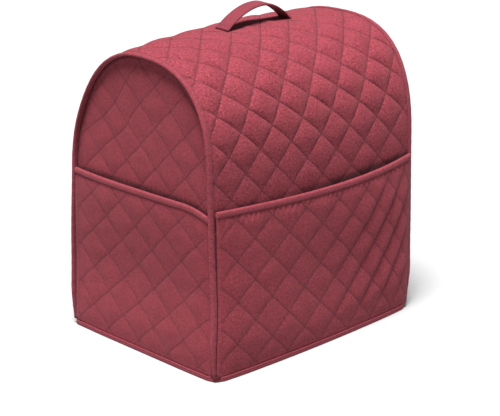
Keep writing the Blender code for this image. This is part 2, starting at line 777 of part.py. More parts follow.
def main():
    for old in list(bpy.data.objects):
        bpy.data.objects.remove(old)
    cover = bpy.data.collections.new("mixer_cover")
    bpy.context.scene.collection.children.link(cover)
    frame = bpy.data.objects.new("frame", None)
    cover.objects.link(frame)
    quilt = make_material("quilt_wine", (0.235, 0.042, 0.062), 0.85)
    tape = make_material("tape_wine", (0.200, 0.036, 0.055), 0.80)
    web = make_material("strap_wine", (0.220, 0.038, 0.058), 0.80)

    pieces = [
        quilted_panel("gusset", quilt, gusset_outline(), gusset_seam(), gusset_flat, on_gusset,
                      gusset_crown, gusset_under, gusset_cloth, reach=60),
        quilted_panel("end_near", quilt, end_outline(), end_seam(), end_flat, on_end(-1.0),
                      end_crown(True), lambda y, z: 0.0, lambda y, z: CLOTH, fine=2),
        quilted_panel("end_far", quilt, end_outline(), end_seam(), end_flat, on_end(1.0),
                      end_crown(False), lambda y, z: 0.0, lambda y, z: CLOTH, fine=2),
        quilted_panel("pocket_front", quilt,
                      pocket_outline(POCKET_HALF, NOTCH_X, pocket_rim, False),
                      pocket_seam(POCKET_HALF, pocket_rim, False), pocket_flat, on_front,
                      pocket_crown, pocket_under, pocket_cloth),
        quilted_panel("pocket_end", quilt,
                      pocket_outline(END_POCKET_HALF, NOTCH_Y, end_pocket_rim, True),
                      pocket_seam(END_POCKET_HALF, end_pocket_rim, True), end_pocket_flat,
                      on_end(-1.0), lambda y, z: CROWN_END_POCKET, end_pocket_under,
                      end_pocket_cloth, fine=2),
        make_arch_binding("arch_binding_near", -1.0, tape),
        make_arch_binding("arch_binding_far", 1.0, tape),
        make_hem_tape("hem_tape", tape),
        make_rim_tape("pocket_front_tape", tape, on_front, POCKET_HALF, False,
                      pocket_rim, pocket_stand, pocket_cloth),
        make_rim_tape("pocket_end_tape", tape, on_end(-1.0), END_POCKET_HALF, True,
                      end_pocket_rim, end_pocket_stand, end_pocket_cloth),
        make_handle("handle", web),
    ]
    centre_frame(frame, pieces)


main()
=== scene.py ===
"""Quilted stand mixer cover: the dressed model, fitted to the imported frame.

Metres, +Z up. X runs along the long sides, Y from the side with the big pocket (y < 0) to the plain
side, and the end with the small pocket is at x < 0. Every panel is drawn flat in (u, v), quilted
there with stitched diamonds, and then placed in space by the same drape as the solids.
"""

from math import pi, radians

import bmesh
import bpy
import numpy as np
from bpy.props import FloatProperty, FloatVectorProperty, IntProperty, PointerProperty
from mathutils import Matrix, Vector
from mathutils.geometry import delaunay_2d_cdt


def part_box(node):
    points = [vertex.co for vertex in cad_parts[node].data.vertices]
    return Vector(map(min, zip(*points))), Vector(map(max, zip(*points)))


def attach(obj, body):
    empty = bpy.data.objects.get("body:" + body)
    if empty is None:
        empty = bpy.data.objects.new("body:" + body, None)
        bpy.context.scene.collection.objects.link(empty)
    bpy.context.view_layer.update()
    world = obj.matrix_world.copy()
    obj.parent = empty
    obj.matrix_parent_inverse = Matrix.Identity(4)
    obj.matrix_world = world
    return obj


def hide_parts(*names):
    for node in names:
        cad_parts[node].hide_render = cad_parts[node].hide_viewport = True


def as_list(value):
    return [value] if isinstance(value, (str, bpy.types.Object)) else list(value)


bl_info = {
    "name": "Quilted Mixer Cover",
    "version": (1, 0, 0),
    "blender": (4, 5, 0),
    "location": "3D View > Sidebar > Mixer Cover",
    "description": "Builds a quilted fabric cover for a stand mixer",
    "category": "Add Mesh",
}

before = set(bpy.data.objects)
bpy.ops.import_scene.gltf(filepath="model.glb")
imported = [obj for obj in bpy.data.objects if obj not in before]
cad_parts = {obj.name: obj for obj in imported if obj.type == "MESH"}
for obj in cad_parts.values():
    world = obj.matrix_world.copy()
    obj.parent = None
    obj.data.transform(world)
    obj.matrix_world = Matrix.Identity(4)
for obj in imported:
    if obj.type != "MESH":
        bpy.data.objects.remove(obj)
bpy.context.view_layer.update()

# The section, the layers of the cloth and the small distances between them
RIM_DEPTH = 0.0085
SPRING_HEIGHT = 0.2500
SQUARENESS = 2.60
SEAM_CLOTH = 0.0016
SEAM_FADE = 0.0120
GAP = 0.0004
RIM_CLEAR = 0.0008
PAD_CLEAR = 0.0006
EDGE_CLEAR = 0.0010
POCKET_CLEAR_SIDE = 0.0008
END_CLEAR = 0.0005
END_SEAM_INSET = 0.0060
POCKET_SEAM_INSET = 0.0050
POCKET_SEAM_DROP = 0.0008

# The puff of the top between the rims
BOW_PEAK_X = -0.065
BOW_POWER_NEAR = 2.6
BOW_POWER_FAR = 1.3
BOW_FRONT = (-0.110, 0.030)
BOW_BACK = (0.100, 0.220)

# The padding between the stitch lines
HIGH_DIAMONDS_FADE = (0.12, 0.24)
RIDGE_CALM = 0.62
RIDGE_REACH = (-0.060, 0.005)
PAD_RISE = 0.0130
PLUMP_UNEVEN = 0.16
PLUMP_TURNS = (12.9, 78.2)
CREASE = 0.00030
CREASE_WAVE = 0.030
CREASE_FADE = 0.16
RUFFLE_WAVES = 7
RUFFLE_SPREAD = (0.7, 1.5)
RUFFLE_CALM = 4.0
# Width of the painted shade along the stitch lines, and its share on the inner face
STITCH_SHADE_WIDTH = 0.020
BACK_STITCH_SHADE = 0.5

# Where the diamonds lie
GUSSET_ORIGIN = (0.0092, -0.1920)
GUSSET_SHIFT = -0.016
GUSSET_SHIFT_REACH = 0.090
END_ORIGIN = (0.002, 0.330)
POCKET_ORIGIN = (-0.004, 0.170)
END_POCKET_ORIGIN = (0.006, 0.172)
POCKET_CROWDING = 0.00080
CROWDING_ROUNDS = 8
POCKET_SAG = 0.0100
POCKET_LOWEST_X = 0.0200

# The hem tape
HEM_TOP = 0.0068
HEM_FLOOR = 0.0012
HEM_RADII = (0.018, 0.014, 0.014, 0.010)
GROOVE_RADII = (0.011, 0.008, 0.008, 0.005)
POCKET_STAND = 0.0008
POCKET_EDGE = 0.0018
HEM_ROUNDING = 0.0008
NOTCH_X = 0.1590
NOTCH_Y = 0.1145
PANEL_FOOT = HEM_FLOOR + GAP
NOTCH_FOOT = HEM_TOP + GAP
SEAM_FOOT = HEM_TOP + 0.0022
HEM_LIP = 0.0002
HEM_EASED = (0.3, 0.7)
HEM_SEAM = 0.0014

# The bound rims
RIM_OUTER = 0.0004
RIM_INNER = 0.0022
RIM_TUCK = 0.0048
RIM_TUCK_REACH = 0.060
RIM_FOOT_TUCK = 0.0006
RIM_FOOT_REACH = 0.014
RIM_WOBBLE = 0.00012
RIM_WOBBLE_TURNS = 410.0
RIM_SEAM = 0.0014

# The pockets
POCKET_END_Z = 0.2195
POCKET_MID_Z = 0.2150
POCKET_MOUTH = 0.0028
POCKET_GAPE = 0.0068
GAPE_UNEVEN = 0.35
GAPE_TURN = 9.0
PUCKER = 0.0027
END_POCKET_Z = 0.2210
END_POCKET_DIP = 0.0100
END_POCKET_GAPE = 0.0050
TAPE_LEG = 0.0060
BEHIND_POCKET = (0.222, 0.250)
BEHIND_END_POCKET = (0.235, 0.260)
POCKET_CLEAR = 0.0020
POCKET_RISE = (0.006, 0.050)
POCKET_SIDE_FADE = 0.030
POCKET_OPENS_AT = 0.070
END_POCKET_OPENS_AT = 0.090
END_DIP_WIDTH = 0.046
PUCKER_TURN = 0.75
PUCKER_ACROSS = (-0.020, 0.120)
PUCKER_LOW = (0.020, 0.060)
PUCKER_HIGH = (0.170, 0.204)
PUCKER_SIDE_FADE = 0.020
POCKET_EDGE_FADE = (0.004, 0.016)
TAPE_SEAM = 0.0013

# Painted shade on the cloth in a pocket's mouth: how dark it is, and over which height above the
# rim it fades
MOUTH_SHADE = 1.65
MOUTH_SHADE_DIM = 0.45
MOUTH_SHADE_DIM_REACH = (-0.060, 0.050)
MOUTH_SHADE_EDGE = (0.0010, 0.0065)
END_MOUTH_SHADE = 0.9
END_MOUTH_SHADE_EDGE = (0.0005, 0.0050)

# The ripples that the long pocket's tape leaves under it
GATHER = 0.0009
GATHER_WIDTH = 0.0088
GATHER_IN = (0.0010, 0.0035)
GATHER_OUT = (0.0045, 0.0150)
GATHER_SLANT = 0.10
GATHER_DRIFT = (2.2, 61.0)
GATHER_UNEVEN = (0.35, 97.0)
GATHER_SIDE = 0.007
GATHER_DROPS = (0.0022, 0.0160)
GATHER_GRID = (0.0016, 0.0024)

# The strap
STRAP_MIDDLE = 0.0225
STRAP_BACK = 0.0040
STRAP_HALF = 0.0590
STRAP_RISE = 0.0234
STRAP_PEAK = 0.12
STRAP_FOOT = 0.0035
STRAP_NARROWING = 0.04
STRAP_ROUNDNESS = 0.80
STRAP_PRESS = 0.020
STRAP_SEWN = 0.019
STRAP_MARGIN = 0.002
STRAP_SEAM = 0.0022
STRAP_SEAM_ENDS = 0.985
STRAP_SEAM_POINTS = 120
STRAP_TACKS = (-0.975, -0.90, 0.90, 0.975)
STRAP_TACK_POINTS = 16
STRAP_LIFT = 0.0001
STRAP_END_THICKNESS = 0.72
STRAP_STEPS = np.concatenate([[-1.0, -0.997], np.linspace(-0.99, 0.99, 90), [0.997, 1.0]])

# The drape
LEAN_NEAR = -0.0025
LEAN_FAR = 0.0030
LEAN_REACH = (0.240, 0.360)
FRONT_FOOT_NEAR = 0.0062
FRONT_FOOT_FAR = 0.0020
FRONT_FOOT_REACH = (0.020, 0.180)
FRONT_BULGE = 0.0060
BACK_BULGE = 0.0020
BULGE_REACH = (0.150, 0.330)
BACK_LEAN = -0.0010
BACK_BELLY = 0.0096
BELLY_REACH = (0.080, 0.260)
SHOULDER_SAG = 0.130
SHOULDER_CENTRE_Z = 0.262
SHOULDER_ARC = (-0.244, 1.571)
SHOULDER_POWER = 1.8
SHOULDER_ALONG = (-0.080, 0.170)
FLARE_NEAR = 0.0048
FLARE_FAR = 0.0030
FLARE_ALONG = (0.100, 0.172)
FLARE_HEIGHT = 0.110
CORNER_PULL = 0.0010
CORNER_PULL_HEIGHT = 0.060
CORNER_REACH = 0.060
WAVE = 0.0009
WAVE_TURNS_X = (21.0, 9.0)
WAVE_TURNS_Y = (19.0, 14.0)
WAVE_TURNS_Z = (17.0, 11.0)

# Steps across one diamond, close together at its stitch lines
DIAMOND_STEPS = (0.0, 0.03, 0.08, 0.16, 0.28, 0.42, 0.58, 0.72, 0.84, 0.92, 0.97)

# Steps of the other drawings and sweeps
ARCH_STEPS = 1200
NORMAL_REACH = 0.002
ROW_STEP = 0.0045
EDGE_STEP = 0.0060
TOP_STEP = 0.0050
SWEEP_STEP = 0.0040
TAPE_STEP = 0.0035
SEAM_STEP = 0.0030
SEAM_START = 0.0020
SEAM_MARGIN = 0.0012
BACK_STEP = 0.25
BACK_MARGIN = 0.004
HEM_TURN_STEPS = 10
HEM_SIDE_STEPS = (60, 42, 60, 42)
STRAP_EDGE_POINTS = 7
STRAP_FACE_POINTS = 12

# A folded tape's section: how its upper edge is pressed down, and its turn
FOLD_PRESS = 0.0006
FOLD_LEAST = 0.0016
FOLD_STRAIGHT_POINTS = 4
FOLD_TURNS = 7
FOLD_EDGE = 0.30

# The thread
STITCH_ROW_STEPS = 14.0
STITCH_ROW_LEAST = 2
STITCH_LIFT = 0.00022
SEAM_LIFT = 0.00012
STITCH_UNEVEN = 0.12
THREAD_SEGMENTS = 5
THREAD_RINGS = 4
THREAD_TWIST = 1800.0
THREAD_TONES = (0.70, 1.35)
THREAD_ROUGHNESS = (0.55, 0.80)
THREAD_SHEEN = 0.1

# The brushed cloth: each noise's scale, detail and roughness, and where and how much it shows
FIBRE_SCALE = 430.0
FIBRES = (3.0, 0.65)
FLECKS = (260.0, 2.0, 0.70)
CLOUDS = (42.0, 3.0, 0.60)
FLECKS_SHOW = (0.48, 0.64, 0.80)
NAP_SHOWS = (0.50, 0.66, 0.80)
CLOUDS_SHOW = (0.45, 0.75, 0.35)
FLECK_RELIEF = 0.8
CLOTH_ROUGHNESS = (0.82, 0.96)
SHEEN_ROUGHNESS = 0.55
SHEEN_TINT = (1.0, 0.42, 0.48, 1.0)
GLOSS = 0.25
CLOTHS = {  # the material's name, its relief and its sheen
    "cloth": ("brushed_quilt", 0.00017, 0.06),
    "tape": ("binding_tape", 0.00012, 0.08),
    "strap": ("carrying_strap", 0.00014, 0.06),
}

# The stage
FLOOR_HALF = 6.0
FLOOR_ROUGHNESS = 0.9
OVERHEAD_PLACE = (-0.25, -0.15, 0.955)
FILL_PLACE = (-1.3, -1.9, 1.0)
FILL_SIZE = 1.2
SENSOR_WIDTH = 36.0
CAMERA_PLACE = (-1.5074, -1.5430, 0.8949)
CAMERA_TURN = (71.01, 0.0, -44.561)


def size_prop(name, description, default, low=0.0001, high=1.0):
    return FloatProperty(name=name, description=description, default=default, min=low, max=high,
                         subtype="DISTANCE", unit="LENGTH", precision=4)


def share_prop(name, description, default, low=0.0, high=1.0):
    return FloatProperty(name=name, description=description, default=default, min=low, max=high)


def colour_prop(name, description, default):
    return FloatVectorProperty(name=name, description=description, default=default, size=3,
                               subtype="COLOR", min=0.0, max=1.0)


class CoverSizes(bpy.types.PropertyGroup):
    length: size_prop("Length", "Length of the long sides", 0.366)
    width: size_prop("Width", "Distance between the long walls", 0.260)
    top: size_prop("Body height", "Height of the arch's ridge", 0.3925)
    cloth: size_prop("Cloth", "Thickness of the cloth at its stitches", 0.0022)
    tape: size_prop("Tape", "Thickness of the binding tape", 0.0010)
    bow: size_prop("Top puff", "How far the top puffs out between the rims", 0.0075)
    strap_width: size_prop("Strap width", "Width of the carrying strap", 0.0220)
    strap_cloth: size_prop("Strap thickness", "Thickness of the carrying strap", 0.0030)


class QuiltSizes(bpy.types.PropertyGroup):
    diamond_u: size_prop("Half width", "Half the width of a diamond on the long panel", 0.0261)
    diamond_v: size_prop("Half height", "Half the height of a diamond", 0.0260)
    end_diamond_u: size_prop("End half width", "Half the width of a diamond on the ends", 0.0276)
    pocket_diamond_u: size_prop("Pocket half width", "Half a diamond's width on it", 0.0285)
    pocket_diamond_v: size_prop("Pocket half height", "Half its height on the big pocket", 0.0268)
    crown_top: size_prop("Top padding", "Height of the diamonds on top", 0.0052)
    crown_side: size_prop("Wall padding", "Height of the diamonds on the long walls", 0.0020)
    crown_end: size_prop("End padding", "Height of the diamonds on the ends", 0.0009)
    crown_behind: size_prop("Covered padding", "Height of the diamonds behind a pocket", 0.0010)
    crown_pocket: size_prop("Pocket padding", "Height of the big pocket's diamonds", 0.0012)
    crown_end_pocket: size_prop("Small pocket padding", "Height of its diamonds", 0.0010)
    plumpness: share_prop("Plumpness", "Lower is fuller towards the stitch lines", 0.60, 0.2, 2.0)


class StitchSizes(bpy.types.PropertyGroup):
    pitch: size_prop("Pitch", "Distance from one stitch to the next", 0.0034)
    stitch: size_prop("Stitch length", "Length of one stitch", 0.0027)
    thread: size_prop("Thread", "Thickness of the thread", 0.00050)
    seed: IntProperty(name="Seed", description="Seed of the stitches' unevenness", default=7)


class CoverColours(bpy.types.PropertyGroup):
    cloth: colour_prop("Cloth", "Colour of the quilted cloth", (0.178, 0.022, 0.032))
    cloth_dark: colour_prop("Cloth fleck", "Darker fibres of the cloth", (0.092, 0.009, 0.016))
    cloth_light: colour_prop("Cloth nap", "Lighter fibres of the cloth", (0.285, 0.055, 0.072))
    tape: colour_prop("Tape", "Colour of the binding tape", (0.178, 0.024, 0.035))
    tape_dark: colour_prop("Tape fleck", "Darker fibres of the tape", (0.120, 0.014, 0.022))
    tape_light: colour_prop("Tape nap", "Lighter fibres of the tape", (0.260, 0.050, 0.068))
    strap: colour_prop("Strap", "Colour of the carrying strap", (0.150, 0.021, 0.032))
    strap_dark: colour_prop("Strap fleck", "Darker fibres of the strap", (0.112, 0.014, 0.023))
    strap_light: colour_prop("Strap nap", "Lighter fibres of the strap", (0.195, 0.030, 0.044))
    thread: colour_prop("Thread", "Colour of the sewing thread", (0.062, 0.006, 0.011))
    # Painted shade: how much darker the cloth is painted along its stitch lines and in the pockets'
    # mouths
    groove: share_prop("Groove", "How much darker the cloth is in its stitch lines", 0.45)


class StageSizes(bpy.types.PropertyGroup):
    lens: FloatProperty(name="Lens", description="Focal length of the camera", default=123.9,
                        min=10.0, max=400.0, subtype="DISTANCE_CAMERA")
    floor: colour_prop("Floor", "Colour of the floor", (0.360, 0.360, 0.360))
    overhead: FloatProperty(name="Overhead light", description="Strength of the light above",
                            default=9.3, min=0.0, max=100.0)
    softness: FloatProperty(name="Softness", description="Width of the light above, as an angle",
                            default=radians(24.0), min=0.0, max=pi, subtype="ANGLE")
    fill: FloatProperty(name="Fill light", description="Power of the light beside the camera",
                        default=1.0, min=0.0, max=1000.0, subtype="POWER")
    room: FloatProperty(name="Room light", description="Strength of the light all round",
                        default=0.22, min=0.0, max=10.0)


def ease(low, high, value):
    """A smooth step from 0 at low to 1 at high."""
    t = np.clip((value - low) / (high - low), 0.0, 1.0)
    return t * t * (3.0 - 2.0 * t)


def ruffle(x, y, z, wave, seed):
    """Soft unevenness from -1 to 1, with bumps about a wave across."""
    source = np.random.default_rng(seed)
    total = np.zeros_like(x + y + z)
    for _ in range(RUFFLE_WAVES):
        turn = source.normal(size=3)
        turn *= 2.0 * pi / (wave * np.linalg.norm(turn) * source.uniform(*RUFFLE_SPREAD))
        total += np.sin(turn[0] * x + turn[1] * y + turn[2] * z + source.uniform(0.0, 2.0 * pi))
    return total / RUFFLE_CALM


def spread(start, end, step):
    """Evenly spaced values from start to end, both included, at most a step apart."""
    return np.linspace(start, end, max(1, round(abs(end - start) / step + 0.499)) + 1)


def within(points, outline):
    """Which points lie inside an outline."""
    odd = np.zeros(len(points), dtype=bool)
    u, v = points[:, 0], points[:, 1]
    for (u0, v0), (u1, v1) in zip(outline, np.roll(outline, -1, axis=0)):
        if v0 != v1:
            odd ^= ((v0 > v) != (v1 > v)) & (u < u0 + (u1 - u0) * (v - v0) / (v1 - v0))
    return odd


def distance_to(points, outline):
    """How far points are from the nearest edge of an outline."""
    nearest = np.full(len(points), 1.0)
    for start, end in zip(outline, np.roll(outline, -1, axis=0)):
        run = end - start
        t = np.clip((points - start) @ run / max(run @ run, 1e-12), 0.0, 1.0)
        nearest = np.minimum(nearest, np.linalg.norm(points - start - t[:, None] * run, axis=1))
    return nearest


def smooth_line(points, step):
    """A finer polyline through the corners of another."""
    fine = []
    for start, end in zip(points, points[1:]):
        count = max(1, round(float(np.hypot(*(end - start))) / step))
        fine += [start + (end - start) * k / count for k in range(count)]
    return np.array(fine + [points[-1]])


def keep_inside(points, outline, margin):
    """Which points lie inside an outline, more than a margin from its edge."""
    kept = within(points, outline)
    kept[kept] = distance_to(points[kept], outline) > margin
    return kept


def level_line(half, height):
    """Evenly spaced points from -half to half at one height."""
    u = spread(-half, half, EDGE_STEP)
    return np.stack([u, np.full(len(u), height)], axis=1)


def mirrored(front, right):
    """A closed outline from its front edge and its right side."""
    return np.concatenate([front, right, front[::-1] * (1, -1), right[::-1] * (-1, 1)])


def lattice_points(to_flat, ticks):
    """Points of a flat drawing at each pair of ticks along the two ways of its diamonds."""
    p, q = np.meshgrid(ticks, ticks, indexing="ij")
    return np.stack(to_flat((p + q).ravel(), (p - q).ravel()), axis=1)


def gusset_shift(v):
    """How far the gusset's diamonds lie to one side above its front wall."""
    return GUSSET_SHIFT * ease(GUSSET_ORIGIN[1], GUSSET_ORIGIN[1] + GUSSET_SHIFT_REACH, v)


class Cover:
    """The cover's shape, worked out from the sizes in the panel."""

    def __init__(self, scene):
        self.scene, self.quilt = scene, scene.mixer_cover_quilt
        sizes = scene.mixer_cover_sizes
        self.half_x, self.half_y, self.top = sizes.length / 2, sizes.width / 2, sizes.top
        self.cloth, self.tape, self.bow = sizes.cloth, sizes.tape, sizes.bow
        self.strap_width, self.strap_cloth = sizes.strap_width, sizes.strap_cloth
        self.end_x = self.half_x - RIM_DEPTH
        self.rim_start = self.end_x + RIM_CLEAR
        self.pad_side = self.rim_start - PAD_CLEAR
        self.gusset_edge = self.half_x - self.tape - EDGE_CLEAR
        self.pocket_half = self.rim_start - POCKET_CLEAR_SIDE
        self.end_pocket_half = self.half_y - RIM_INNER - self.tape - END_CLEAR
        angle = pi / 2 * (1.0 - np.arange(ARCH_STEPS + 1) / ARCH_STEPS)
        y = self.half_y * np.maximum(0.0, np.cos(angle)) ** (2.0 / SQUARENESS)
        z = SPRING_HEIGHT + (self.top - SPRING_HEIGHT) * np.sin(angle) ** (2.0 / SQUARENESS)
        y[0], z[0] = 0.0, self.top
        arc = np.concatenate([[0.0], np.cumsum(np.hypot(np.diff(y), np.diff(z)))])
        self.arch = arc[-1]
        self.arc = np.append(arc, self.arch + 1.0)
        self.arc_y, self.arc_z = np.append(y, self.half_y), np.append(z, SPRING_HEIGHT - 1.0)
        self.shift = np.zeros(3)
        rings = np.concatenate([self.hem_ring(0, HEM_ROUNDING), self.hem_ring(0, HEM_TOP)])
        low, high = (np.array(corner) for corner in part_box("hem_tape"))
        self.shift[:2] = ((low + high) / 2 - (rings.min(axis=0) + rings.max(axis=0)) / 2)[:2]

    def front_out(self, x, z):
        along = x / (2 * self.half_x) + 0.5
        out = (LEAN_NEAR + (LEAN_FAR - LEAN_NEAR) * along) * (1.0 - ease(*LEAN_REACH, z))
        foot = FRONT_FOOT_NEAR + (FRONT_FOOT_FAR - FRONT_FOOT_NEAR) * along
        return out + foot * (1.0 - ease(*FRONT_FOOT_REACH, z)) + FRONT_BULGE * self.bulge(x, z)

    def back_out(self, x, z):
        out = BACK_LEAN * (1.0 - ease(*LEAN_REACH, z)) + BACK_BULGE * self.bulge(x, z)
        return out + BACK_BELLY * (1.0 - ease(*BELLY_REACH, z))

    def bulge(self, x, z):
        return (1.0 - (x / self.half_x) ** 2) * (1.0 - ease(*BULGE_REACH, z))

    def drape(self, x, y, z):
        """The way the whole cover hangs, the same for every piece."""
        x, y, z = np.broadcast_arrays(*(np.asarray(value, dtype=float) for value in (x, y, z)))
        first, last = SHOULDER_ARC
        turn = (np.arctan2(z - SHOULDER_CENTRE_Z, y) - first) / (last - first)
        slump = np.sin(pi * np.clip(turn, 0.0, 1.0)) ** SHOULDER_POWER
        sag = np.where(y > 0.0, SHOULDER_SAG * slump * ease(*SHOULDER_ALONG, -x), 0.0)
        y, z = y * (1.0 - sag), z - (z - SHOULDER_CENTRE_Z) * sag
        out = np.where(y < 0.0, self.front_out(x, z), self.back_out(x, z))
        flare = np.where(x < 0.0, FLARE_NEAR, FLARE_FAR) * ease(*FLARE_ALONG, np.abs(x))
        flare *= 1.0 - ease(0.0, FLARE_HEIGHT, z)
        low = 1.0 - ease(0.0, CORNER_PULL_HEIGHT, z)
        corner = ease(self.half_x - CORNER_REACH, self.half_x, np.abs(x))
        corner *= ease(self.half_y - CORNER_REACH, self.half_y, np.abs(y))
        pull = CORNER_PULL * corner * low
        wave = WAVE * (1.0 - low)
        new_x = x + np.sign(x) * (flare - pull)
        new_x = new_x + wave * np.sin(WAVE_TURNS_X[0] * z + WAVE_TURNS_X[1] * y)
        new_y = y * (1.0 + out / self.half_y) - np.sign(y) * pull
        new_y = new_y + wave * np.sin(WAVE_TURNS_Y[0] * x + WAVE_TURNS_Y[1] * z)
        new_z = z + wave * np.sin(WAVE_TURNS_Z[0] * x + WAVE_TURNS_Z[1] * y)
        return np.stack([new_x, new_y, new_z], axis=-1) + self.shift

    def section(self, v):
        """The section at arc length v: the point y, z and its outward normal."""
        side, distance, reach = np.where(v >= 0, 1.0, -1.0), np.abs(v), NORMAL_REACH
        y, z = np.interp(distance, self.arc, self.arc_y), np.interp(distance, self.arc, self.arc_z)
        yb = np.interp(distance + reach, self.arc, self.arc_y)
        zb = np.interp(distance + reach, self.arc, self.arc_z)
        back = np.abs(distance - reach)
        ya = np.interp(back, self.arc, self.arc_y) * np.where(distance < reach, -1.0, 1.0)
        za = np.interp(back, self.arc, self.arc_z)
        size = np.hypot(yb - ya, zb - za)
        return side * y, z, side * -(zb - za) / size, (yb - ya) / size

    def on_gusset(self, x, v, out):
        y, z, ny, nz = self.section(v)
        return self.drape(x, y + ny * out, z + nz * out)

    def on_front(self, x, z, out):
        return self.drape(x, -self.half_y - out, z)

    def on_end(self, side):
        return lambda y, z, out: self.drape(side * (self.end_x + out), y, z)

    def wall_arc(self, z):
        return self.arch + SPRING_HEIGHT - z

    def rim_tuck(self, v):
        return RIM_TUCK * (1.0 - ease(0.0, RIM_TUCK_REACH, self.section(v)[1]))

    def rows(self, foot, step=ROW_STEP):
        half = spread(0.0, self.wall_arc(foot), step)
        return np.concatenate([-half[::-1], half[1:]])

    def foot_line(self, half, notch, low, high):
        """A panel's lower edge, left to right, cut back at both ends for the hem's corners."""
        corners = [(-half, high), (-notch, high), (-notch, low), (notch, low), (notch, high),
                   (half, high)]
        return smooth_line(np.array(corners), EDGE_STEP)

    def lattice(self, origin, half_width, shift=lambda v: 0.0):
        """A panel's diamonds: flat points from lattice steps, and the steps of flat points."""
        height = self.quilt.diamond_v

        def to_flat(i, j):
            v = origin[1] + j * height
            return origin[0] + shift(v) + i * half_width, v

        def steps_of(u, v):
            return (u - origin[0] - shift(v)) / half_width, (v - origin[1]) / height

        return to_flat, steps_of

    # The gusset: one long panel, over the top from hem to hem

    def gusset_outline(self):
        rows = self.rows(NOTCH_FOOT)
        half = self.gusset_edge - self.rim_tuck(rows[0])
        front = self.foot_line(half, NOTCH_X, -self.wall_arc(PANEL_FOOT), rows[0])
        edge = self.gusset_edge - self.rim_tuck(rows[1:-1])
        return mirrored(front, np.stack([edge, rows[1:-1]], axis=1))

    def gusset_seam(self):
        rows = self.rows(SEAM_FOOT)
        right = np.stack([np.full(len(rows) - 2, self.pad_side), rows[1:-1]], axis=1)
        return mirrored(level_line(self.pad_side, rows[0]), right)

    def gusset_crown(self, x, v):
        quilt = self.quilt
        high = 1.0 - ease(*HIGH_DIAMONDS_FADE, np.abs(v))
        height = quilt.crown_side + (quilt.crown_top - quilt.crown_side) * high
        height = height * (1.0 - RIDGE_CALM * ease(*RIDGE_REACH, v))
        behind = np.where(v < 0.0, 1.0 - ease(*BEHIND_POCKET, self.section(v)[1]), 0.0)
        height = height + (quilt.crown_behind - height) * behind
        along = np.abs(x - STRAP_MIDDLE)
        start, end = STRAP_HALF - STRAP_SEWN, STRAP_HALF + STRAP_MARGIN
        foot = ease(start - STRAP_PRESS, start - STRAP_PRESS / 2, along)
        foot = foot * (1.0 - ease(end, end + STRAP_PRESS, along))
        edge = self.strap_width / 2 + STRAP_MARGIN
        foot = foot * (1.0 - ease(edge, edge + STRAP_PRESS, np.abs(v - STRAP_BACK)))
        return height * (1.0 - foot)

    def gusset_under(self, x, v):
        near = x < BOW_PEAK_X
        reach = np.where(near, self.pad_side + BOW_PEAK_X, self.pad_side - BOW_PEAK_X)
        power = np.where(near, BOW_POWER_NEAR, BOW_POWER_FAR)
        along = np.maximum(0.0, 1.0 - (np.abs(x - BOW_PEAK_X) / reach) ** power)
        return self.bow * along * ease(*BOW_FRONT, v) * (1.0 - ease(*BOW_BACK, v))

    def gusset_cloth(self, x, v):
        edge = self.gusset_edge - self.rim_tuck(v) - np.abs(x)
        return SEAM_CLOTH + (self.cloth - SEAM_CLOTH) * ease(0.0, SEAM_FADE, edge)

    # The two arched ends

    def arch_line(self, inset, foot):
        rows = self.rows(foot)[1:-1][::-1]
        y, z, ny, nz = self.section(rows)
        return np.stack([y - ny * inset, z - nz * inset], axis=1)

    def end_outline(self):
        inset = self.cloth + END_CLEAR
        foot = self.foot_line(self.half_y - inset, NOTCH_Y, PANEL_FOOT, NOTCH_FOOT)
        return np.concatenate([foot, self.arch_line(inset, NOTCH_FOOT)])

    def end_seam(self):
        inset = self.cloth + END_SEAM_INSET
        foot = level_line(self.half_y - inset, SEAM_FOOT)
        return np.concatenate([foot, self.arch_line(inset, SEAM_FOOT)])

    def end_crown(self, behind):
        low, high = self.quilt.crown_behind, self.quilt.crown_end
        if behind:
            return lambda y, z: low + (high - low) * ease(*BEHIND_END_POCKET, z)
        return lambda y, z: high + 0.0 * z

    # The pockets

    def stand_off(self, from_side, z, mouth, swell):
        full = POCKET_CLEAR * ease(*POCKET_RISE, z) * ease(0.0, POCKET_SIDE_FADE, from_side)
        return POCKET_STAND + full * (1.0 - mouth) + (POCKET_MOUTH + swell) * mouth

    def pocket_sag(self, x):
        return POCKET_SAG * ((x - POCKET_LOWEST_X) / self.pocket_half) ** 2

    def pocket_flat(self, i, j):
        x = POCKET_ORIGIN[0] + self.quilt.pocket_diamond_u * i
        x = x - POCKET_CROWDING * np.maximum(0.0, i) ** 2
        return x, POCKET_ORIGIN[1] + j * self.quilt.pocket_diamond_v + self.pocket_sag(x)

    def pocket_steps(self, x, z):
        """The lattice steps of a point of the big pocket."""
        i = np.zeros_like(x + z)
        for _ in range(CROWDING_ROUNDS):
            crowding = POCKET_CROWDING * np.maximum(0.0, i) ** 2
            i = (x - POCKET_ORIGIN[0] + crowding) / self.quilt.pocket_diamond_u
        return i, (z - POCKET_ORIGIN[1] - self.pocket_sag(x)) / self.quilt.pocket_diamond_v

    def pocket_rim(self, x):
        return POCKET_MID_Z + (POCKET_END_Z - POCKET_MID_Z) * (x / self.pocket_half) ** 2

    def pocket_stand(self, x, z):
        mouth = ease(POCKET_OPENS_AT, self.pocket_rim(x) - TAPE_LEG, z)
        swell = POCKET_GAPE * (1.0 - np.abs(x / self.pocket_half) ** 3)
        swell = swell * (1.0 + GAPE_UNEVEN * np.sin(GAPE_TURN * x))
        return self.stand_off(self.pocket_half - np.abs(x), z, mouth, swell)

    def pocket_pucker(self, x, z):
        """Slanting folds where the pocket is gathered, each one steep on its far side."""
        i, j = self.pocket_steps(x, z)
        t = (i - j) / 2.0 % 1.0
        tooth = ease(0.0, PUCKER_TURN, t) * (1.0 - ease(PUCKER_TURN, 1.0, t))
        side = ease(*PUCKER_ACROSS, x) * ease(0.0, PUCKER_SIDE_FADE, self.pocket_half - x)
        return PUCKER * tooth * side * ease(*PUCKER_LOW, z) * (1.0 - ease(*PUCKER_HIGH, z))

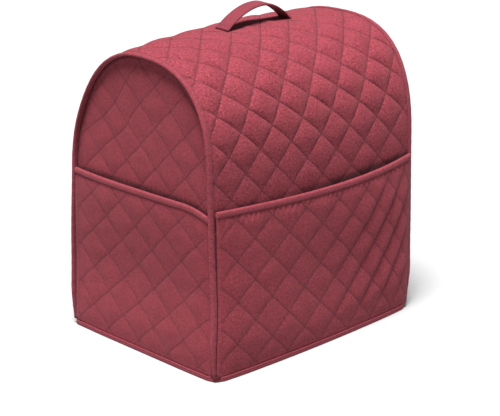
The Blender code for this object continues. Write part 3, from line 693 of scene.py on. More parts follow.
    def edged_cloth(self, from_side, below_rim, z):
        """The thickness of a pocket's cloth, thinner towards its edges."""
        edge = np.minimum(np.minimum(from_side, below_rim), z)
        return POCKET_EDGE + (self.cloth - POCKET_EDGE) * ease(*POCKET_EDGE_FADE, edge)

    def pocket_cloth(self, x, z):
        return self.edged_cloth(self.pocket_half - np.abs(x), self.pocket_rim(x) - z, z)

    def pocket_under(self, x, z):
        return self.pocket_stand(x, z) + self.pocket_cloth(x, z) + self.pocket_pucker(x, z)

    def pocket_mouth_shade(self, x, v):
        """Painted shade on the gusset in the long pocket's mouth, from 0 to 1, weaker towards the
        near end.
        """
        above = self.section(v)[1] - self.pocket_rim(x)
        wide = MOUTH_SHADE_DIM + (1.0 - MOUTH_SHADE_DIM) * ease(*MOUTH_SHADE_DIM_REACH, x)
        return wide * (v < 0.0) * (1.0 - ease(*MOUTH_SHADE_EDGE, above))

    def end_pocket_mouth_shade(self, y, z):
        """Painted shade on the near end in the small pocket's mouth, from 0 to 1."""
        return END_MOUTH_SHADE * (1.0 - ease(*END_MOUTH_SHADE_EDGE, z - self.end_pocket_rim(y)))

    def gather_points(self):
        """Closely set points just under the big pocket's tape, where it is gathered."""
        across, down = GATHER_GRID
        side, (first, last) = self.pocket_half - GATHER_SIDE, GATHER_DROPS
        x, drop = np.meshgrid(np.arange(-side, side, across),
                              np.arange(TAPE_LEG + first, TAPE_LEG + last, down))
        return np.stack([x.ravel(), (self.pocket_rim(x) - drop).ravel()], axis=1)

    def pocket_gathers(self, x, z):
        """Small upright ripples that the tape leaves in the cloth under it."""
        drop = self.pocket_rim(x) - TAPE_LEG - z
        fade = ease(*GATHER_IN, drop) * (1.0 - ease(*GATHER_OUT, drop))
        turn = 2.0 * pi * (x + GATHER_SLANT * drop) / GATHER_WIDTH
        turn = turn + GATHER_DRIFT[0] * np.sin(GATHER_DRIFT[1] * x)
        share, turns = GATHER_UNEVEN
        return GATHER * fade * np.sin(turn) * (1.0 - share + share * np.sin(turns * x + 1.0))

    def end_pocket_rim(self, y):
        along = np.clip(1.0 - (y + self.end_pocket_half) / END_DIP_WIDTH, 0.0, 1.0)
        return END_POCKET_Z - END_POCKET_DIP * along ** 2

    def end_pocket_stand(self, y, z):
        mouth = ease(END_POCKET_OPENS_AT, self.end_pocket_rim(y) - TAPE_LEG, z)
        swell = END_POCKET_GAPE * (1.0 - np.abs(y / self.end_pocket_half) ** 3)
        return self.stand_off(self.end_pocket_half - np.abs(y), z, mouth, swell)

    def end_pocket_cloth(self, y, z):
        return self.edged_cloth(self.end_pocket_half - np.abs(y), self.end_pocket_rim(y) - z, z)

    def end_pocket_under(self, y, z):
        return self.end_pocket_stand(y, z) + self.end_pocket_cloth(y, z)

    def pocket_ring(self, foot, low, half, rim, drop=0.0):
        """A closed outline up both sides of a pocket and along its rim, or a drop below it."""
        right = [(half, z) for z in spread(low, float(rim(half)) - drop, EDGE_STEP)[1:-1]]
        left = [(-half, z) for z in spread(low, float(rim(-half)) - drop, EDGE_STEP)[-2:0:-1]]
        top = [(u, float(rim(u)) - drop) for u in spread(half, -half, TOP_STEP)]
        return np.concatenate([foot, right, top, left])

    def pocket_outline(self, half, notch, rim):
        foot = self.foot_line(half, notch, PANEL_FOOT, NOTCH_FOOT)
        return self.pocket_ring(foot, NOTCH_FOOT, half, rim)

    def pocket_seam(self, half, rim):
        side = half - POCKET_SEAM_INSET
        return self.pocket_ring(level_line(side, SEAM_FOOT), SEAM_FOOT, side, rim,
                                TAPE_LEG + POCKET_SEAM_DROP)

    # The hem

    def hem_ring(self, inset, z, inner=False):
        """One round of the hem tape's outer or inner side, seen from above."""
        pocket, plain = POCKET_STAND + POCKET_EDGE + GAP + self.tape, GAP + self.tape
        outs = [-(self.cloth + GAP)] * 4 if inner else (pocket, plain, pocket, plain)
        sizes = (self.end_x, self.end_x, self.half_y, self.half_y)
        near, far, front, back = (size + out - inset for size, out in zip(sizes, outs))
        corners = ((-near, -front, 1, 1), (far, -front, -1, 1), (far, back, -1, -1),
                   (-near, back, 1, -1))
        turns = []
        for n, (x, y, in_x, in_y) in enumerate(corners):
            radius = (GROOVE_RADII if inner else HEM_RADII)[n] - inset
            angles = pi + n * pi / 2 + pi / 2 * np.arange(HEM_TURN_STEPS + 1) / HEM_TURN_STEPS
            turns.append(np.stack([x + in_x * radius + radius * np.cos(angles),
                                   y + in_y * radius + radius * np.sin(angles)], axis=1))
        ring = []
        for n, (turn, count) in enumerate(zip(turns, HEM_SIDE_STEPS)):
            ahead = turns[(n + 1) % 4][0]
            steps = np.arange(1, count)[:, None] / count
            ring += [turn, turn[-1] + (ahead - turn[-1]) * steps]
        ring = np.concatenate(ring)
        return self.drape(ring[:, 0], ring[:, 1], z)


def link_piece(name, mesh):
    """A mesh's object, linked, on the frame's one body."""
    piece = bpy.data.objects.new(name, mesh)
    bpy.context.scene.collection.objects.link(piece)
    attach(piece, "root")
    return piece


def new_piece(name, points, faces, flat, material):
    """A closed, smooth piece that faces outwards, with its flat drawing as its UV map."""
    mesh = bpy.data.meshes.new(name)
    mesh.from_pydata(points.tolist(), [], faces)
    uv = mesh.uv_layers.new(name="flat").data
    loops = np.zeros(len(mesh.loops), dtype=np.int32)
    mesh.loops.foreach_get("vertex_index", loops)
    uv.foreach_set("uv", flat[loops].astype(np.float32).ravel())
    mesh.materials.append(material)
    mesh.shade_smooth()
    mesh.update()
    piece = link_piece(name, mesh)
    bm = bmesh.new()
    bm.from_mesh(mesh)
    bmesh.ops.recalc_face_normals(bm, faces=bm.faces)
    bm.to_mesh(mesh)
    bm.free()
    return piece


def add_value(piece, name, values):
    attribute = piece.data.attributes.new(name, "FLOAT", "POINT")
    attribute.data.foreach_set("value", values.astype(np.float32))


def fill_outline(outline, inner_loops, points, lines):
    """Triangles over an outline, the loops inside it and scattered points, keeping the lines."""
    everything = np.concatenate([outline, *inner_loops, points])
    edges, base = [], 0
    for loop in (outline, *inner_loops):
        count = len(loop)
        edges += [(base + k, base + (k + 1) % count) for k in range(count)]
        base += count
    edges += [(base + a, base + b) for a, b in lines]
    corners = [Vector(point) for point in everything]
    flat, _, faces, *_ = delaunay_2d_cdt(corners, edges, [], 1, 1e-7)
    return np.array([(point[0], point[1]) for point in flat]), [list(face) for face in faces]


def quilt_panel(cover, node, outline, seam, lattice, place, crown, under, cloth, reach, seed,
                flecked, gathers=None, mouth=None):
    """A padded panel in a node's place: its outer face rises in diamonds, its inner one is plain.

    Returns its stitch lines, as rows of points on the surface.
    """
    to_flat, steps_of = lattice
    per = len(DIAMOND_STEPS)
    grid = lattice_points(to_flat, (np.arange(-reach, reach)[:, None] + DIAMOND_STEPS).ravel())
    kept = keep_inside(grid, seam, SEAM_MARGIN)
    number = np.full(len(grid), -1)
    number[kept] = np.arange(kept.sum())
    number = number.reshape(2 * reach * per, -1)
    lines = []
    for table in (number, number.T):
        for row in table[::per]:
            both = (row[:-1] >= 0) & (row[1:] >= 0)
            lines += list(zip(row[:-1][both].tolist(), row[1:][both].tolist()))
    scattered = grid[kept]
    if gathers:
        extra = cover.gather_points()
        scattered = np.concatenate([scattered, extra[within(extra, seam)]])

    def padding(points):
        """How high the face is padded at points of the drawing, and how much shade is painted along
        its stitch lines.
        """
        u, v = points.T
        i, j = steps_of(u, v)
        a, b = (i + j) / 2.0, (i - j) / 2.0
        puff = np.abs(np.sin(pi * a) * np.sin(pi * b)) ** cover.quilt.plumpness
        fade = ease(0.0, PAD_RISE, distance_to(points, seam)) * within(points, seam)
        turn = PLUMP_TURNS[0] * np.floor(a) + PLUMP_TURNS[1] * np.floor(b) + seed
        plump = 1.0 + PLUMP_UNEVEN * np.sin(turn)
        crease = ruffle(u, v, 0.0 * u, CREASE_WAVE, seed) * CREASE
        line = np.minimum(np.abs(a - np.round(a)), np.abs(b - np.round(b)))
        rise = crown(u, v) * puff * plump * fade + crease * fade * ease(0.0, CREASE_FADE, line)
        if gathers:
            rise = rise + gathers(u, v)
        # Painted shade along the stitch lines
        return rise, np.exp(-(line / STITCH_SHADE_WIDTH) ** 2) * (fade > 0.0)

    flat, faces = fill_outline(outline, [seam], scattered, lines)
    u, v = flat.T
    rise, groove = padding(flat)
    # Painted shade along the stitch lines, scaled with the panel's fleck contrast
    groove = groove * flecked
    # Painted shade in a pocket's mouth joins the stitch lines' painted shade in the same attribute
    if mouth:
        groove = np.maximum(groove, MOUTH_SHADE * mouth(u, v))
    outer = place(u, v, under(u, v) + rise)
    coarse = lattice_points(to_flat, np.arange(-reach, reach, BACK_STEP))
    coarse = coarse[keep_inside(coarse, outline, BACK_MARGIN)]
    back_flat, back_faces = fill_outline(outline, [], coarse, [])
    u, v = back_flat.T
    inner = place(u, v, under(u, v) - cloth(u, v))
    base, count = len(outer), len(outline)
    faces += [[base + k for k in reversed(face)] for face in back_faces]
    faces += [[k, base + k, base + (k + 1) % count, (k + 1) % count] for k in range(count)]
    piece = new_piece(node + "_cloth", np.concatenate([outer, inner]), faces,
                      np.concatenate([flat, back_flat]), cloth_material(cover.scene, "cloth"))
    # The painted shade as a point attribute, at a share on the inner face
    add_value(piece, "groove", np.concatenate([groove, padding(back_flat)[1] * BACK_STITCH_SHADE]))
    add_value(piece, "flecked", np.full(base + len(inner), flecked))
    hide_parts(node)
    return stitch_rows(seam, to_flat, place, under, reach)


def stitch_rows(seam, to_flat, place, under, reach):
    """The diamonds' stitch lines as rows of points, just above the cloth."""
    rows = []
    fine = np.arange(-reach, reach, 1.0 / STITCH_ROW_STEPS)
    for whole in range(-reach, reach):
        for p, q in ((whole + 0.0 * fine, fine), (fine, whole + 0.0 * fine)):
            line = np.stack(to_flat(p + q, p - q), axis=1)
            keep = within(line, seam)
            start = None
            for k in range(len(line) + 1):
                if k < len(line) and keep[k]:
                    start = k if start is None else start
                elif start is not None:
                    if k - start > STITCH_ROW_LEAST:
                        u, v = line[start:k].T
                        rows.append(place(u, v, under(u, v) + STITCH_LIFT))
                    start = None
    return rows


def sweep(name, rings, closed, flat, kind):
    """A tube of quads through rings of points, capped at both ends unless it closes on itself."""
    count, around = rings.shape[:2]
    faces = []
    for k in range(count if closed else count - 1):
        ahead = (k + 1) % count
        for n in range(around):
            after = (n + 1) % around
            faces.append((k * around + n, k * around + after, ahead * around + after,
                          ahead * around + n))
    if not closed:
        for base, turn in ((0, -1), ((count - 1) * around, 1)):
            for n in range(around // 2 - 1):
                face = (base + n, base + n + 1, base + around - 2 - n, base + around - 1 - n)
                faces.append(face[::turn])
    piece = new_piece(name, rings.reshape(-1, 3), faces, flat.reshape(-1, 2),
                      cloth_material(bpy.context.scene, kind))
    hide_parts(name)


def fold_profile(depth, low, high, out, tape):
    """A folded strip's section: (along, out) points down one side of it and back up the other.

    The strip starts at depth on the high side, folds round at out and comes back on the low side.
    """
    radius, middle = (high - low + tape) / 2, (high + low) / 2
    upper, lower, bend = high + tape / 2, low - tape / 2, out - radius - tape / 2
    depth = min(depth, bend - FOLD_LEAST)
    straight = np.linspace(depth + 2 * FOLD_PRESS, bend, FOLD_STRAIGHT_POINTS)
    centre = [(depth, upper - FOLD_PRESS), (depth + FOLD_PRESS, upper - FOLD_PRESS / 2)]
    centre += [(s, upper) for s in straight]
    for angle in np.linspace(pi / 2, -pi / 2, FOLD_TURNS)[1:-1]:
        centre.append((bend + radius * np.cos(angle), middle + radius * np.sin(angle)))
    centre += [(s, lower) for s in straight[::-1]]
    centre = np.array(centre + [(depth + FOLD_PRESS, lower), (depth, lower)])
    run = np.gradient(centre, axis=0)
    run /= np.linalg.norm(run, axis=1)[:, None]
    thick = np.full(len(centre), tape / 2)
    thick[0] = thick[-1] = tape * FOLD_EDGE
    side = np.stack([-run[:, 1], run[:, 0]], axis=1) * thick[:, None]
    way = np.concatenate([[0.0], np.cumsum(np.hypot(*np.diff(centre, axis=0).T))])
    return np.concatenate([centre + side, (centre - side)[::-1]]), np.append(way, way[::-1])


def make_rim(cover, name, side):
    """The tape folded over the seam of the gusset and an end, which stands out as a rim."""
    rings, flats = [], []
    for v in cover.rows(NOTCH_FOOT, SWEEP_STEP):
        foot = 1.0 - ease(NOTCH_FOOT, NOTCH_FOOT + RIM_FOOT_REACH, cover.section(np.array(v))[1])
        out = cover.half_x - float(cover.rim_tuck(np.array(v)) + RIM_FOOT_TUCK * foot)
        wobble = RIM_WOBBLE * np.sin(v * RIM_WOBBLE_TURNS)
        ring, way = fold_profile(cover.rim_start, -RIM_INNER, RIM_OUTER, out, cover.tape)
        level = np.full(len(ring), v)
        rings.append(cover.on_gusset(side * ring[:, 0], level, ring[:, 1] + wobble))
        flats.append(np.stack([way, level], axis=1))
    sweep(name, np.array(rings), False, np.array(flats), "tape")
    along = cover.rows(NOTCH_FOOT + SEAM_START, SEAM_STEP)
    return cover.on_gusset(np.full(len(along), side * (cover.rim_start + RIM_SEAM)), along,
                           np.full(len(along), RIM_OUTER + cover.tape + SEAM_LIFT))


def make_pocket_tape(cover, name, place, half, rim, stand, cloth):
    """The tape folded over a pocket's upper edge."""
    rings, flats = [], []
    for u in spread(-half, half, TAPE_STEP):
        u = np.array(float(u))
        top = float(rim(u))
        depth = top - TAPE_LEG
        low, thick = float(stand(u, top)), float(cloth(u, top))
        low_deep = float(stand(u, np.array(depth)))
        ring, way = fold_profile(depth, -GAP, thick + GAP, top + GAP + cover.tape, cover.tape)
        slope = (low - low_deep) / TAPE_LEG
        offset = low_deep + slope * np.clip(ring[:, 0] - depth, 0.0, TAPE_LEG)
        level = np.full(len(ring), u)
        rings.append(place(level, ring[:, 0], ring[:, 1] + offset))
        flats.append(np.stack([way, level], axis=1))
    sweep(name, np.array(rings), False, np.array(flats), "tape")
    u = spread(-half + SEAM_START, half - SEAM_START, SEAM_STEP)
    z = rim(u) - TAPE_LEG + TAPE_SEAM
    return place(u, z, stand(u, z) + cloth(u, z) + GAP + cover.tape + SEAM_LIFT)


def make_hem(cover):
    """The tape folded over the lower edge all round; its underside is flat on the floor."""
    tape, rounding, lip, middle = cover.tape, HEM_ROUNDING, HEM_TOP - HEM_LIP, HEM_TOP * 0.5
    less, more = HEM_EASED
    levels = (
        (0.0, lip, False), (0.0, middle, False), (0.0, rounding, False),
        (less * rounding, less * rounding, False), (rounding, 0.0, False), (tape, 0.0, True),
        (tape, middle, True), (tape, lip, True), (tape * more, HEM_TOP, True),
        (tape * less, HEM_TOP, True), (0.0, lip, True), (0.0, HEM_FLOOR, True),
        (tape, HEM_FLOOR, False), (tape, lip, False), (tape * more, HEM_TOP, False),
        (tape * less, HEM_TOP, False),
    )
    loops = np.array([cover.hem_ring(inset, z, inner) for inset, z, inner in levels])
    rings = loops.transpose(1, 0, 2)
    run, across = (np.concatenate([[0.0], np.cumsum(np.linalg.norm(np.diff(path, axis=0), axis=1))])
                   for path in (rings.mean(axis=1), rings[0]))
    flat = np.stack(np.meshgrid(run, across, indexing="ij")[::-1], axis=-1)
    sweep("hem_tape", rings, True, flat, "tape")
    seam = cover.hem_ring(-SEAM_LIFT, HEM_TOP - HEM_SEAM)
    return np.concatenate([seam, seam[:1]])


def make_strap(cover):
    """The carrying strap: a flat folded band, sewn down at both ends, that stands up as a loop."""
    loop = 1.0 - STRAP_FOOT / STRAP_HALF
    half, thick = cover.strap_width / 2, cover.strap_cloth / 2
    angles = np.linspace(pi / 2, -pi / 2, STRAP_EDGE_POINTS)
    edge = np.stack([half - thick + thick * np.cos(angles), thick * np.sin(angles)], axis=1)
    across = np.linspace(-(half - thick), half - thick, STRAP_FACE_POINTS)[1:-1]
    upper = np.stack([across, np.full(len(across), thick)], axis=1)
    ring = np.concatenate([upper, edge, (upper * (1, -1))[::-1], (edge * (-1, 1))[::-1]])

    def place(t, w, out):
        share = (t - STRAP_PEAK) / np.where(t < STRAP_PEAK, loop + STRAP_PEAK, loop - STRAP_PEAK)
        rise = np.maximum(0.0, np.cos(pi / 2 * np.minimum(1.0, np.abs(share)))) ** STRAP_ROUNDNESS
        v = STRAP_BACK + w * (1.0 - STRAP_NARROWING * rise)
        x = STRAP_MIDDLE + STRAP_HALF * t
        lift = cover.gusset_under(x, v) + GAP + thick + STRAP_RISE * rise
        return cover.on_gusset(x, v, lift + out)

    rings, flats = [], []
    for t in STRAP_STEPS:
        end = STRAP_END_THICKNESS if abs(t) == 1.0 else 1.0
        w, level = ring[:, 0], np.full(len(ring), t)
        rings.append(place(level, w, ring[:, 1] * end))
        flats.append(np.stack([w, level * STRAP_HALF], axis=1))
    sweep("handle", np.array(rings), False, np.array(flats), "strap")
    t = np.linspace(-STRAP_SEAM_ENDS, STRAP_SEAM_ENDS, STRAP_SEAM_POINTS)
    w = np.linspace(-half + STRAP_SEAM, half - STRAP_SEAM, STRAP_TACK_POINTS)
    rows = [(t, np.full(len(t), side)) for side in (w[0], w[-1])]
    rows += [(np.full(len(w), tack), w) for tack in STRAP_TACKS]
    return [place(t, w, np.full(len(t), thick + STRAP_LIFT)) for t, w in rows]


# Node trees


def feed(tree, node, feeds):
    """Link a node's inputs to other sockets, or set them to plain values."""
    for socket, value in feeds.items():
        if isinstance(value, bpy.types.NodeSocket):
            tree.links.new(value, node.inputs[socket])
        else:
            node.inputs[socket].default_value = value
    return node.outputs


def wire(tree, kind, feeds, **settings):
    """A new node with its settings and its inputs fed."""
    node = tree.nodes.new(kind)
    for name, value in settings.items():
        setattr(node, name, value)
    return feed(tree, node, feeds)


def add_sockets(tree, side, **kinds):
    """A group's named inputs or outputs, each with its kind or the number that it starts at."""
    for name, kind in kinds.items():
        ending = {float: "Float", int: "Int"}.get(type(kind), kind)
        socket = tree.interface.new_socket(name, in_out=side, socket_type="NodeSocket" + ending)
        if ending != kind:
            socket.default_value = kind


def stitch_tree(sizes):
    """Geometry Nodes: curves from polylines, resampled, with a small stitch laid at each point."""
    tree = bpy.data.node_groups.new("lay_stitches", "GeometryNodeTree")
    add_sockets(tree, "INPUT", Geometry="Geometry", Pitch=sizes.pitch, Length=sizes.stitch,
                Thread=sizes.thread, Unevenness=STITCH_UNEVEN, Seed=sizes.seed,
                Material="Material")
    add_sockets(tree, "OUTPUT", Geometry="Geometry")
    given = tree.nodes.new("NodeGroupInput").outputs
    curve = wire(tree, "GeometryNodeMeshToCurve", {"Mesh": given["Geometry"]})["Curve"]
    even = wire(tree, "GeometryNodeResampleCurve", {"Curve": curve, "Length": given["Pitch"]},
                mode="LENGTH")["Curve"]
    points = wire(tree, "GeometryNodeCurveToPoints", {"Curve": even}, mode="EVALUATED")
    turn = wire(tree, "FunctionNodeAlignEulerToVector", {"Vector": points["Tangent"]},
                axis="Z")["Rotation"]
    ball = wire(tree, "GeometryNodeMeshUVSphere",
                {"Segments": THREAD_SEGMENTS, "Rings": THREAD_RINGS, "Radius": 0.5})["Mesh"]
    least = wire(tree, "ShaderNodeMath", {0: 1.0, 1: given["Unevenness"]},
                 operation="SUBTRACT")[0]
    share = wire(tree, "FunctionNodeRandomValue", {2: least, 3: 1.0, "Seed": given["Seed"]},
                 data_type="FLOAT")[1]
    length = wire(tree, "ShaderNodeMath", {0: given["Length"], 1: share},
                  operation="MULTIPLY")[0]
    size = wire(tree, "ShaderNodeCombineXYZ",
                {"X": given["Thread"], "Y": given["Thread"], "Z": length})["Vector"]
    laid = wire(tree, "GeometryNodeInstanceOnPoints",
                {"Points": points["Points"], "Instance": ball, "Rotation": turn, "Scale": size})
    real = wire(tree, "GeometryNodeRealizeInstances", {"Geometry": laid["Instances"]})
    sewn = wire(tree, "GeometryNodeSetMaterial",
                {"Geometry": real["Geometry"], "Material": given["Material"]})
    wire(tree, "NodeGroupOutput", {"Geometry": sewn["Geometry"]})
    return tree


def lay_stitches(scene, name, rows):
    """Sew rows of points: one small capsule of thread for each stitch."""
    edges, base = [], 0
    for row in rows:
        edges += [(base + k, base + k + 1) for k in range(len(row) - 1)]
        base += len(row)
    mesh = bpy.data.meshes.new(name + "_rows")
    mesh.from_pydata(np.concatenate(rows).tolist(), edges, [])
    guide = bpy.data.objects.new(name + "_rows", mesh)
    scene.collection.objects.link(guide)
    sizes = scene.mixer_cover_stitches
    tree = bpy.data.node_groups.get("lay_stitches") or stitch_tree(sizes)
    modifier = guide.modifiers.new("stitches", "NODES")
    modifier.node_group = tree
    values = {"Pitch": sizes.pitch, "Length": sizes.stitch, "Thread": sizes.thread,
              "Unevenness": STITCH_UNEVEN, "Seed": sizes.seed,
              "Material": thread_material(scene)}
    for item in tree.interface.items_tree:
        if item.in_out == "INPUT" and item.name in values:
            modifier[item.identifier] = values[item.name]
    graph = bpy.context.evaluated_depsgraph_get()
    laid = bpy.data.meshes.new_from_object(guide.evaluated_get(graph), depsgraph=graph)
    bpy.data.objects.remove(guide)
    laid.name = name
    laid.shade_smooth()
    link_piece(name, laid)


# Materials


def brushed_cloth_group():
    """A shader group: heathered, brushed cloth with flecks, a nap and fine fibre relief, darkened
    by painted shade.
    """
    tree = bpy.data.node_groups.get("brushed_cloth")
    if tree:
        return tree
    tree = bpy.data.node_groups.new("brushed_cloth", "ShaderNodeTree")
    add_sockets(tree, "INPUT", Place="Vector", Colour="Color", Fleck="Color", Nap="Color",
                Grain=FIBRE_SCALE, Groove=0.0, Depth=0.6, Contrast=1.0)
    add_sockets(tree, "OUTPUT", Colour="Color", Roughness="Float", Height="Float")
    given = tree.nodes.new("NodeGroupInput").outputs

    def noise(scale, detail, roughness):
        return wire(tree, "ShaderNodeTexNoise", {"Vector": given["Place"], "Scale": scale,
                                                 "Detail": detail, "Roughness": roughness})["Fac"]

    def maths(operation, first, second):
        return wire(tree, "ShaderNodeMath", {0: first, 1: second}, operation=operation)[0]

    def shown(value, low, high, share):
        step = wire(tree, "ShaderNodeMapRange",
                    {"Value": value, "From Min": low, "From Max": high})["Result"]
        return maths("MULTIPLY", step, share)

    def mix(factor, first, second, kind="MIX"):
        return wire(tree, "ShaderNodeMix", {0: factor, 6: first, 7: second}, data_type="RGBA",
                    blend_type=kind)[2]

    fibres, flecks, clouds = noise(given["Grain"], *FIBRES), noise(*FLECKS), noise(*CLOUDS)
    spotted = maths("MULTIPLY", shown(flecks, *FLECKS_SHOW), given["Contrast"])
    brushed = maths("MULTIPLY", shown(fibres, *NAP_SHOWS), given["Contrast"])
    colour = mix(spotted, given["Colour"], given["Fleck"])
    colour = mix(brushed, colour, given["Nap"])
    colour = mix(shown(clouds, *CLOUDS_SHOW), colour, given["Fleck"])
    # Painted shade: the colour is darkened by the shade attribute times its strength
    light = maths("SUBTRACT", 1.0, maths("MULTIPLY", given["Groove"], given["Depth"]))
    grey = wire(tree, "ShaderNodeCombineColor", {"Red": light, "Green": light, "Blue": light})
    rough = wire(tree, "ShaderNodeMapRange", {"Value": fibres, "To Min": CLOTH_ROUGHNESS[0],
                                              "To Max": CLOTH_ROUGHNESS[1]})
    wire(tree, "NodeGroupOutput", {
        "Colour": mix(1.0, colour, grey["Color"], "MULTIPLY"), "Roughness": rough["Result"],
        "Height": maths("ADD", fibres, maths("MULTIPLY", flecks, FLECK_RELIEF))})
    return tree


def opaque(colour):
    return (*colour, 1.0)


def new_material(name):
    """A material, its node tree and its shader."""
    material = bpy.data.materials.new(name)
    material.use_nodes = True
    return material, material.node_tree, material.node_tree.nodes["Principled BSDF"]


def cloth_material(scene, kind):
    """The brushed cloth of the panels, the tapes or the strap, made once."""
    name, relief, sheen = CLOTHS[kind]
    if name in bpy.data.materials:
        return bpy.data.materials[name]
    material, tree, shader = new_material(name)
    colours = scene.mixer_cover_colours
    tones = [opaque(getattr(colours, kind + tone)) for tone in ("", "_dark", "_light")]
    feeds = dict(zip(("Colour", "Fleck", "Nap"), tones))
    feeds["Place"] = wire(tree, "ShaderNodeUVMap", {}, uv_map="flat")["UV"]
    if kind == "cloth":
        # The quilted cloth reads its painted shade and its fleck contrast from point attributes
        feeds["Depth"] = colours.groove
        for attribute, socket in (("groove", "Groove"), ("flecked", "Contrast")):
            feeds[socket] = wire(tree, "ShaderNodeAttribute", {}, attribute_name=attribute)["Fac"]
    effect = wire(tree, "ShaderNodeGroup", feeds, node_tree=brushed_cloth_group())
    bump = wire(tree, "ShaderNodeBump",
                {"Strength": 1.0, "Distance": relief, "Height": effect["Height"]})
    feed(tree, shader, {
        "Sheen Weight": sheen, "Sheen Roughness": SHEEN_ROUGHNESS, "Sheen Tint": SHEEN_TINT,
        "Specular IOR Level": GLOSS, "Base Color": effect["Colour"],
        "Roughness": effect["Roughness"], "Normal": bump["Normal"]})
    return material


def thread_material(scene):
    """The sewing thread, twisted in two tones, made once."""
    if "sewing_thread" in bpy.data.materials:
        return bpy.data.materials["sewing_thread"]
    material, tree, shader = new_material("sewing_thread")
    place = wire(tree, "ShaderNodeTexCoord", {})["Object"]
    twist = wire(tree, "ShaderNodeTexNoise",
                 {"Vector": place, "Scale": THREAD_TWIST, "Detail": 1.0})["Fac"]
    dark, light = (opaque([tone * value for value in scene.mixer_cover_colours.thread])
                   for tone in THREAD_TONES)
    colour = wire(tree, "ShaderNodeMix", {0: twist, 6: dark, 7: light}, data_type="RGBA")[2]
    rough = wire(tree, "ShaderNodeMapRange", {"Value": twist, "To Min": THREAD_ROUGHNESS[0],
                                              "To Max": THREAD_ROUGHNESS[1]})["Result"]
    feed(tree, shader, {"Sheen Weight": THREAD_SHEEN, "Base Color": colour, "Roughness": rough})
    return material


# Operators


class GussetOperator(bpy.types.Operator):
    """Build the long quilted panel that runs over the top from hem to hem"""
    bl_idname = "mixer_cover.gusset"
    bl_label = "Gusset"

    def execute(self, context):
        cover = Cover(context.scene)
        rows = quilt_panel(
            cover, "gusset", cover.gusset_outline(), cover.gusset_seam(),
            cover.lattice(GUSSET_ORIGIN, cover.quilt.diamond_u, gusset_shift), cover.on_gusset,
            cover.gusset_crown, cover.gusset_under, cover.gusset_cloth, reach=18, seed=3,
            flecked=1.0, mouth=cover.pocket_mouth_shade)
        lay_stitches(context.scene, "gusset_stitches", rows)
        return {"FINISHED"}


class EndsOperator(bpy.types.Operator):
    """Build the two arched end panels"""
    bl_idname = "mixer_cover.ends"
    bl_label = "Ends"

    def execute(self, context):
        cover = Cover(context.scene)
        # The near end gets painted shade in the small pocket's mouth; the far end has none
        for name, side, mouth in (("end_near", -1.0, cover.end_pocket_mouth_shade),
                                  ("end_far", 1.0, None)):
            rows = quilt_panel(
                cover, name, cover.end_outline(), cover.end_seam(),
                cover.lattice(END_ORIGIN, cover.quilt.end_diamond_u), cover.on_end(side),
                cover.end_crown(mouth), lambda y, z: 0.0 * y, lambda y, z: cover.cloth + 0.0 * y,
                reach=16, seed=11, flecked=0.55, mouth=mouth)
            lay_stitches(context.scene, name + "_stitches", rows)
        return {"FINISHED"}


def sew_pocket(cover, node, place, lattice, half, notch, rim, crown, stand, cloth, under, **looks):
    """A pocket's quilted panel and its rim's tape, and the stitches of both."""
    rows = quilt_panel(cover, node, cover.pocket_outline(half, notch, rim),
                       cover.pocket_seam(half, rim), lattice, place, lambda u, v: crown + 0.0 * u,
                       under, cloth, reach=14, **looks)
    rows.append(make_pocket_tape(cover, node + "_tape", place, half, rim, stand, cloth))
    lay_stitches(cover.scene, node + "_stitches", rows)


class PocketsOperator(bpy.types.Operator):
    """Build the two open pockets with their rim tapes"""
    bl_idname = "mixer_cover.pockets"
    bl_label = "Pockets"

    def execute(self, context):
        cover = Cover(context.scene)
        quilt = cover.quilt
        sew_pocket(cover, "pocket_front", cover.on_front, (cover.pocket_flat, cover.pocket_steps),
                   cover.pocket_half, NOTCH_X, cover.pocket_rim, quilt.crown_pocket,
                   cover.pocket_stand, cover.pocket_cloth, cover.pocket_under, seed=5,
                   flecked=0.75, gathers=cover.pocket_gathers)
        sew_pocket(cover, "pocket_end", cover.on_end(-1.0),
                   cover.lattice(END_POCKET_ORIGIN, quilt.end_diamond_u), cover.end_pocket_half,
                   NOTCH_Y, cover.end_pocket_rim, quilt.crown_end_pocket, cover.end_pocket_stand,
                   cover.end_pocket_cloth, cover.end_pocket_under, seed=8, flecked=0.55)
        return {"FINISHED"}


class TapesOperator(bpy.types.Operator):
    """Build the bound rims of both arches and the hem tape"""
    bl_idname = "mixer_cover.tapes"
    bl_label = "Rims and hem"

    def execute(self, context):
        cover = Cover(context.scene)
        rims = [make_rim(cover, "arch_binding_" + name, side)
                for name, side in (("near", -1.0), ("far", 1.0))]
        lay_stitches(context.scene, "tape_stitches", [*rims, make_hem(cover)])
        return {"FINISHED"}


class StrapOperator(bpy.types.Operator):
    """Build the carrying strap on top"""
    bl_idname = "mixer_cover.strap"
    bl_label = "Strap"

    def execute(self, context):
        rows = make_strap(Cover(context.scene))
        lay_stitches(context.scene, "strap_stitches", rows)
        return {"FINISHED"}


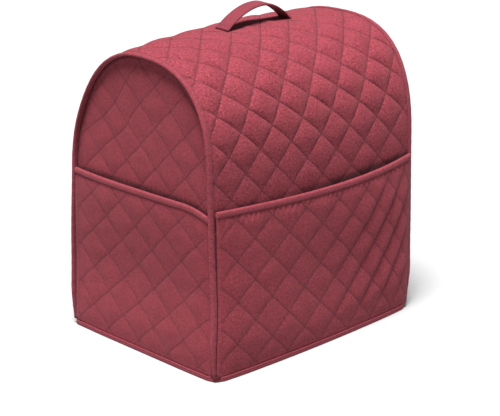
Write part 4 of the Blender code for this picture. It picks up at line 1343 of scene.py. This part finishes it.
class StageOperator(bpy.types.Operator):
    """Build the floor, the lights and the camera"""
    bl_idname = "mixer_cover.stage"
    bl_label = "Stage"

    def execute(self, context):
        scene = context.scene
        sizes = scene.mixer_cover_stage

        def link(name, data):
            thing = bpy.data.objects.new(name, data)
            scene.collection.objects.link(thing)
            return thing

        mesh = bpy.data.meshes.new("floor")
        ends = (-FLOOR_HALF, FLOOR_HALF)
        mesh.from_pydata([(x, y, 0.0) for y in ends for x in ends], [], [(0, 1, 3, 2)])
        floor = link("floor", mesh)
        pale, tree, shader = new_material("pale_floor")
        feed(tree, shader, {"Base Color": opaque(sizes.floor), "Roughness": FLOOR_ROUGHNESS})
        mesh.materials.append(pale)
        world = bpy.data.worlds.new("studio")
        world.use_nodes = True
        feed(world.node_tree, world.node_tree.nodes["Background"],
             {"Color": (1.0, 1.0, 1.0, 1.0), "Strength": sizes.room})
        scene.world = world
        scene.view_settings.view_transform = "Standard"
        sun = bpy.data.lights.new("overhead", "SUN")
        sun.energy, sun.angle = sizes.overhead, sizes.softness
        fill = bpy.data.lights.new("fill", "AREA")
        fill.energy, fill.size = sizes.fill, FILL_SIZE
        for light, place in ((sun, OVERHEAD_PLACE), (fill, FILL_PLACE)):
            lamp = link(light.name, light)
            lamp.location = place
            lamp.rotation_euler = (-Vector(place)).to_track_quat("-Z", "Y").to_euler()
        lens = bpy.data.cameras.new("camera")
        lens.lens, lens.sensor_width = sizes.lens, SENSOR_WIDTH
        camera = link("camera", lens)
        camera.location = Vector(CAMERA_PLACE) + Vector(Cover(scene).shift)
        camera.rotation_euler = [radians(angle) for angle in CAMERA_TURN]
        scene.camera = camera
        return {"FINISHED"}


class MixerCoverPanel(bpy.types.Panel):
    """Sizes, colours and pieces of the mixer cover"""
    bl_idname = "VIEW3D_PT_mixer_cover"
    bl_label = "Mixer Cover"
    bl_space_type = "VIEW_3D"
    bl_region_type = "UI"
    bl_category = "Mixer Cover"

    def draw(self, context):
        for group in PROPERTY_GROUPS:
            box = self.layout.box()
            settings = getattr(context.scene, group)
            for name in settings.__annotations__:
                box.prop(settings, name)
        for operator in OPERATORS:
            self.layout.operator(operator.bl_idname)


PROPERTY_GROUPS = {
    "mixer_cover_sizes": CoverSizes, "mixer_cover_quilt": QuiltSizes,
    "mixer_cover_stitches": StitchSizes, "mixer_cover_colours": CoverColours,
    "mixer_cover_stage": StageSizes,
}
OPERATORS = (StageOperator, GussetOperator, EndsOperator, PocketsOperator, TapesOperator,
             StrapOperator)


def register():
    for name, group in PROPERTY_GROUPS.items():
        bpy.utils.register_class(group)
        setattr(bpy.types.Scene, name, PointerProperty(type=group))
    for operator in OPERATORS:
        bpy.utils.register_class(operator)
    bpy.utils.register_class(MixerCoverPanel)


def unregister():
    bpy.utils.unregister_class(MixerCoverPanel)
    for operator in reversed(OPERATORS):
        bpy.utils.unregister_class(operator)
    for name, group in reversed(PROPERTY_GROUPS.items()):
        delattr(bpy.types.Scene, name)
        bpy.utils.unregister_class(group)


def declare_cloth(cover):
    """Works out each sheet's flat outline and size as cut before it was sewn, and finds the pieces
    sewn onto it, but keeps none of it.
    """
    long_pocket = cover.pocket_outline(cover.pocket_half, NOTCH_X, cover.pocket_rim)
    short_pocket = cover.pocket_outline(cover.end_pocket_half, NOTCH_Y, cover.end_pocket_rim)
    ends = ["end_near_cloth", "end_far_cloth"]
    trims = ["arch_binding_near", "arch_binding_far", "hem_tape", "handle", "tape_stitches",
             "strap_stitches"]
    for name, outline, held, rests_on, on_it in (
            ("gusset", cover.gusset_outline(), "stretched", ends, trims),
            ("end_near", cover.end_outline(), "stretched", ["hem_tape"], []),
            ("end_far", cover.end_outline(), "stretched", ["hem_tape"], []),
            ("pocket_front", long_pocket, "hung", ["hem_tape"], ["pocket_front_tape"]),
            ("pocket_end", short_pocket, "hung", ["hem_tape"], ["pocket_end_tape"])):
        width, length = np.ptp(outline, axis=0)
        (u, v), (u1, v1) = outline.T, np.roll(outline, -1, axis=0).T
        pieces = [bpy.data.objects[piece] for piece in [name + "_stitches", *on_it]]
        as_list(rests_on)


def main():
    register()
    for operator in OPERATORS:
        getattr(bpy.ops.mixer_cover, operator.bl_idname.split(".")[1])()
    declare_cloth(Cover(bpy.context.scene))


if __name__ == "__main__":
    main()
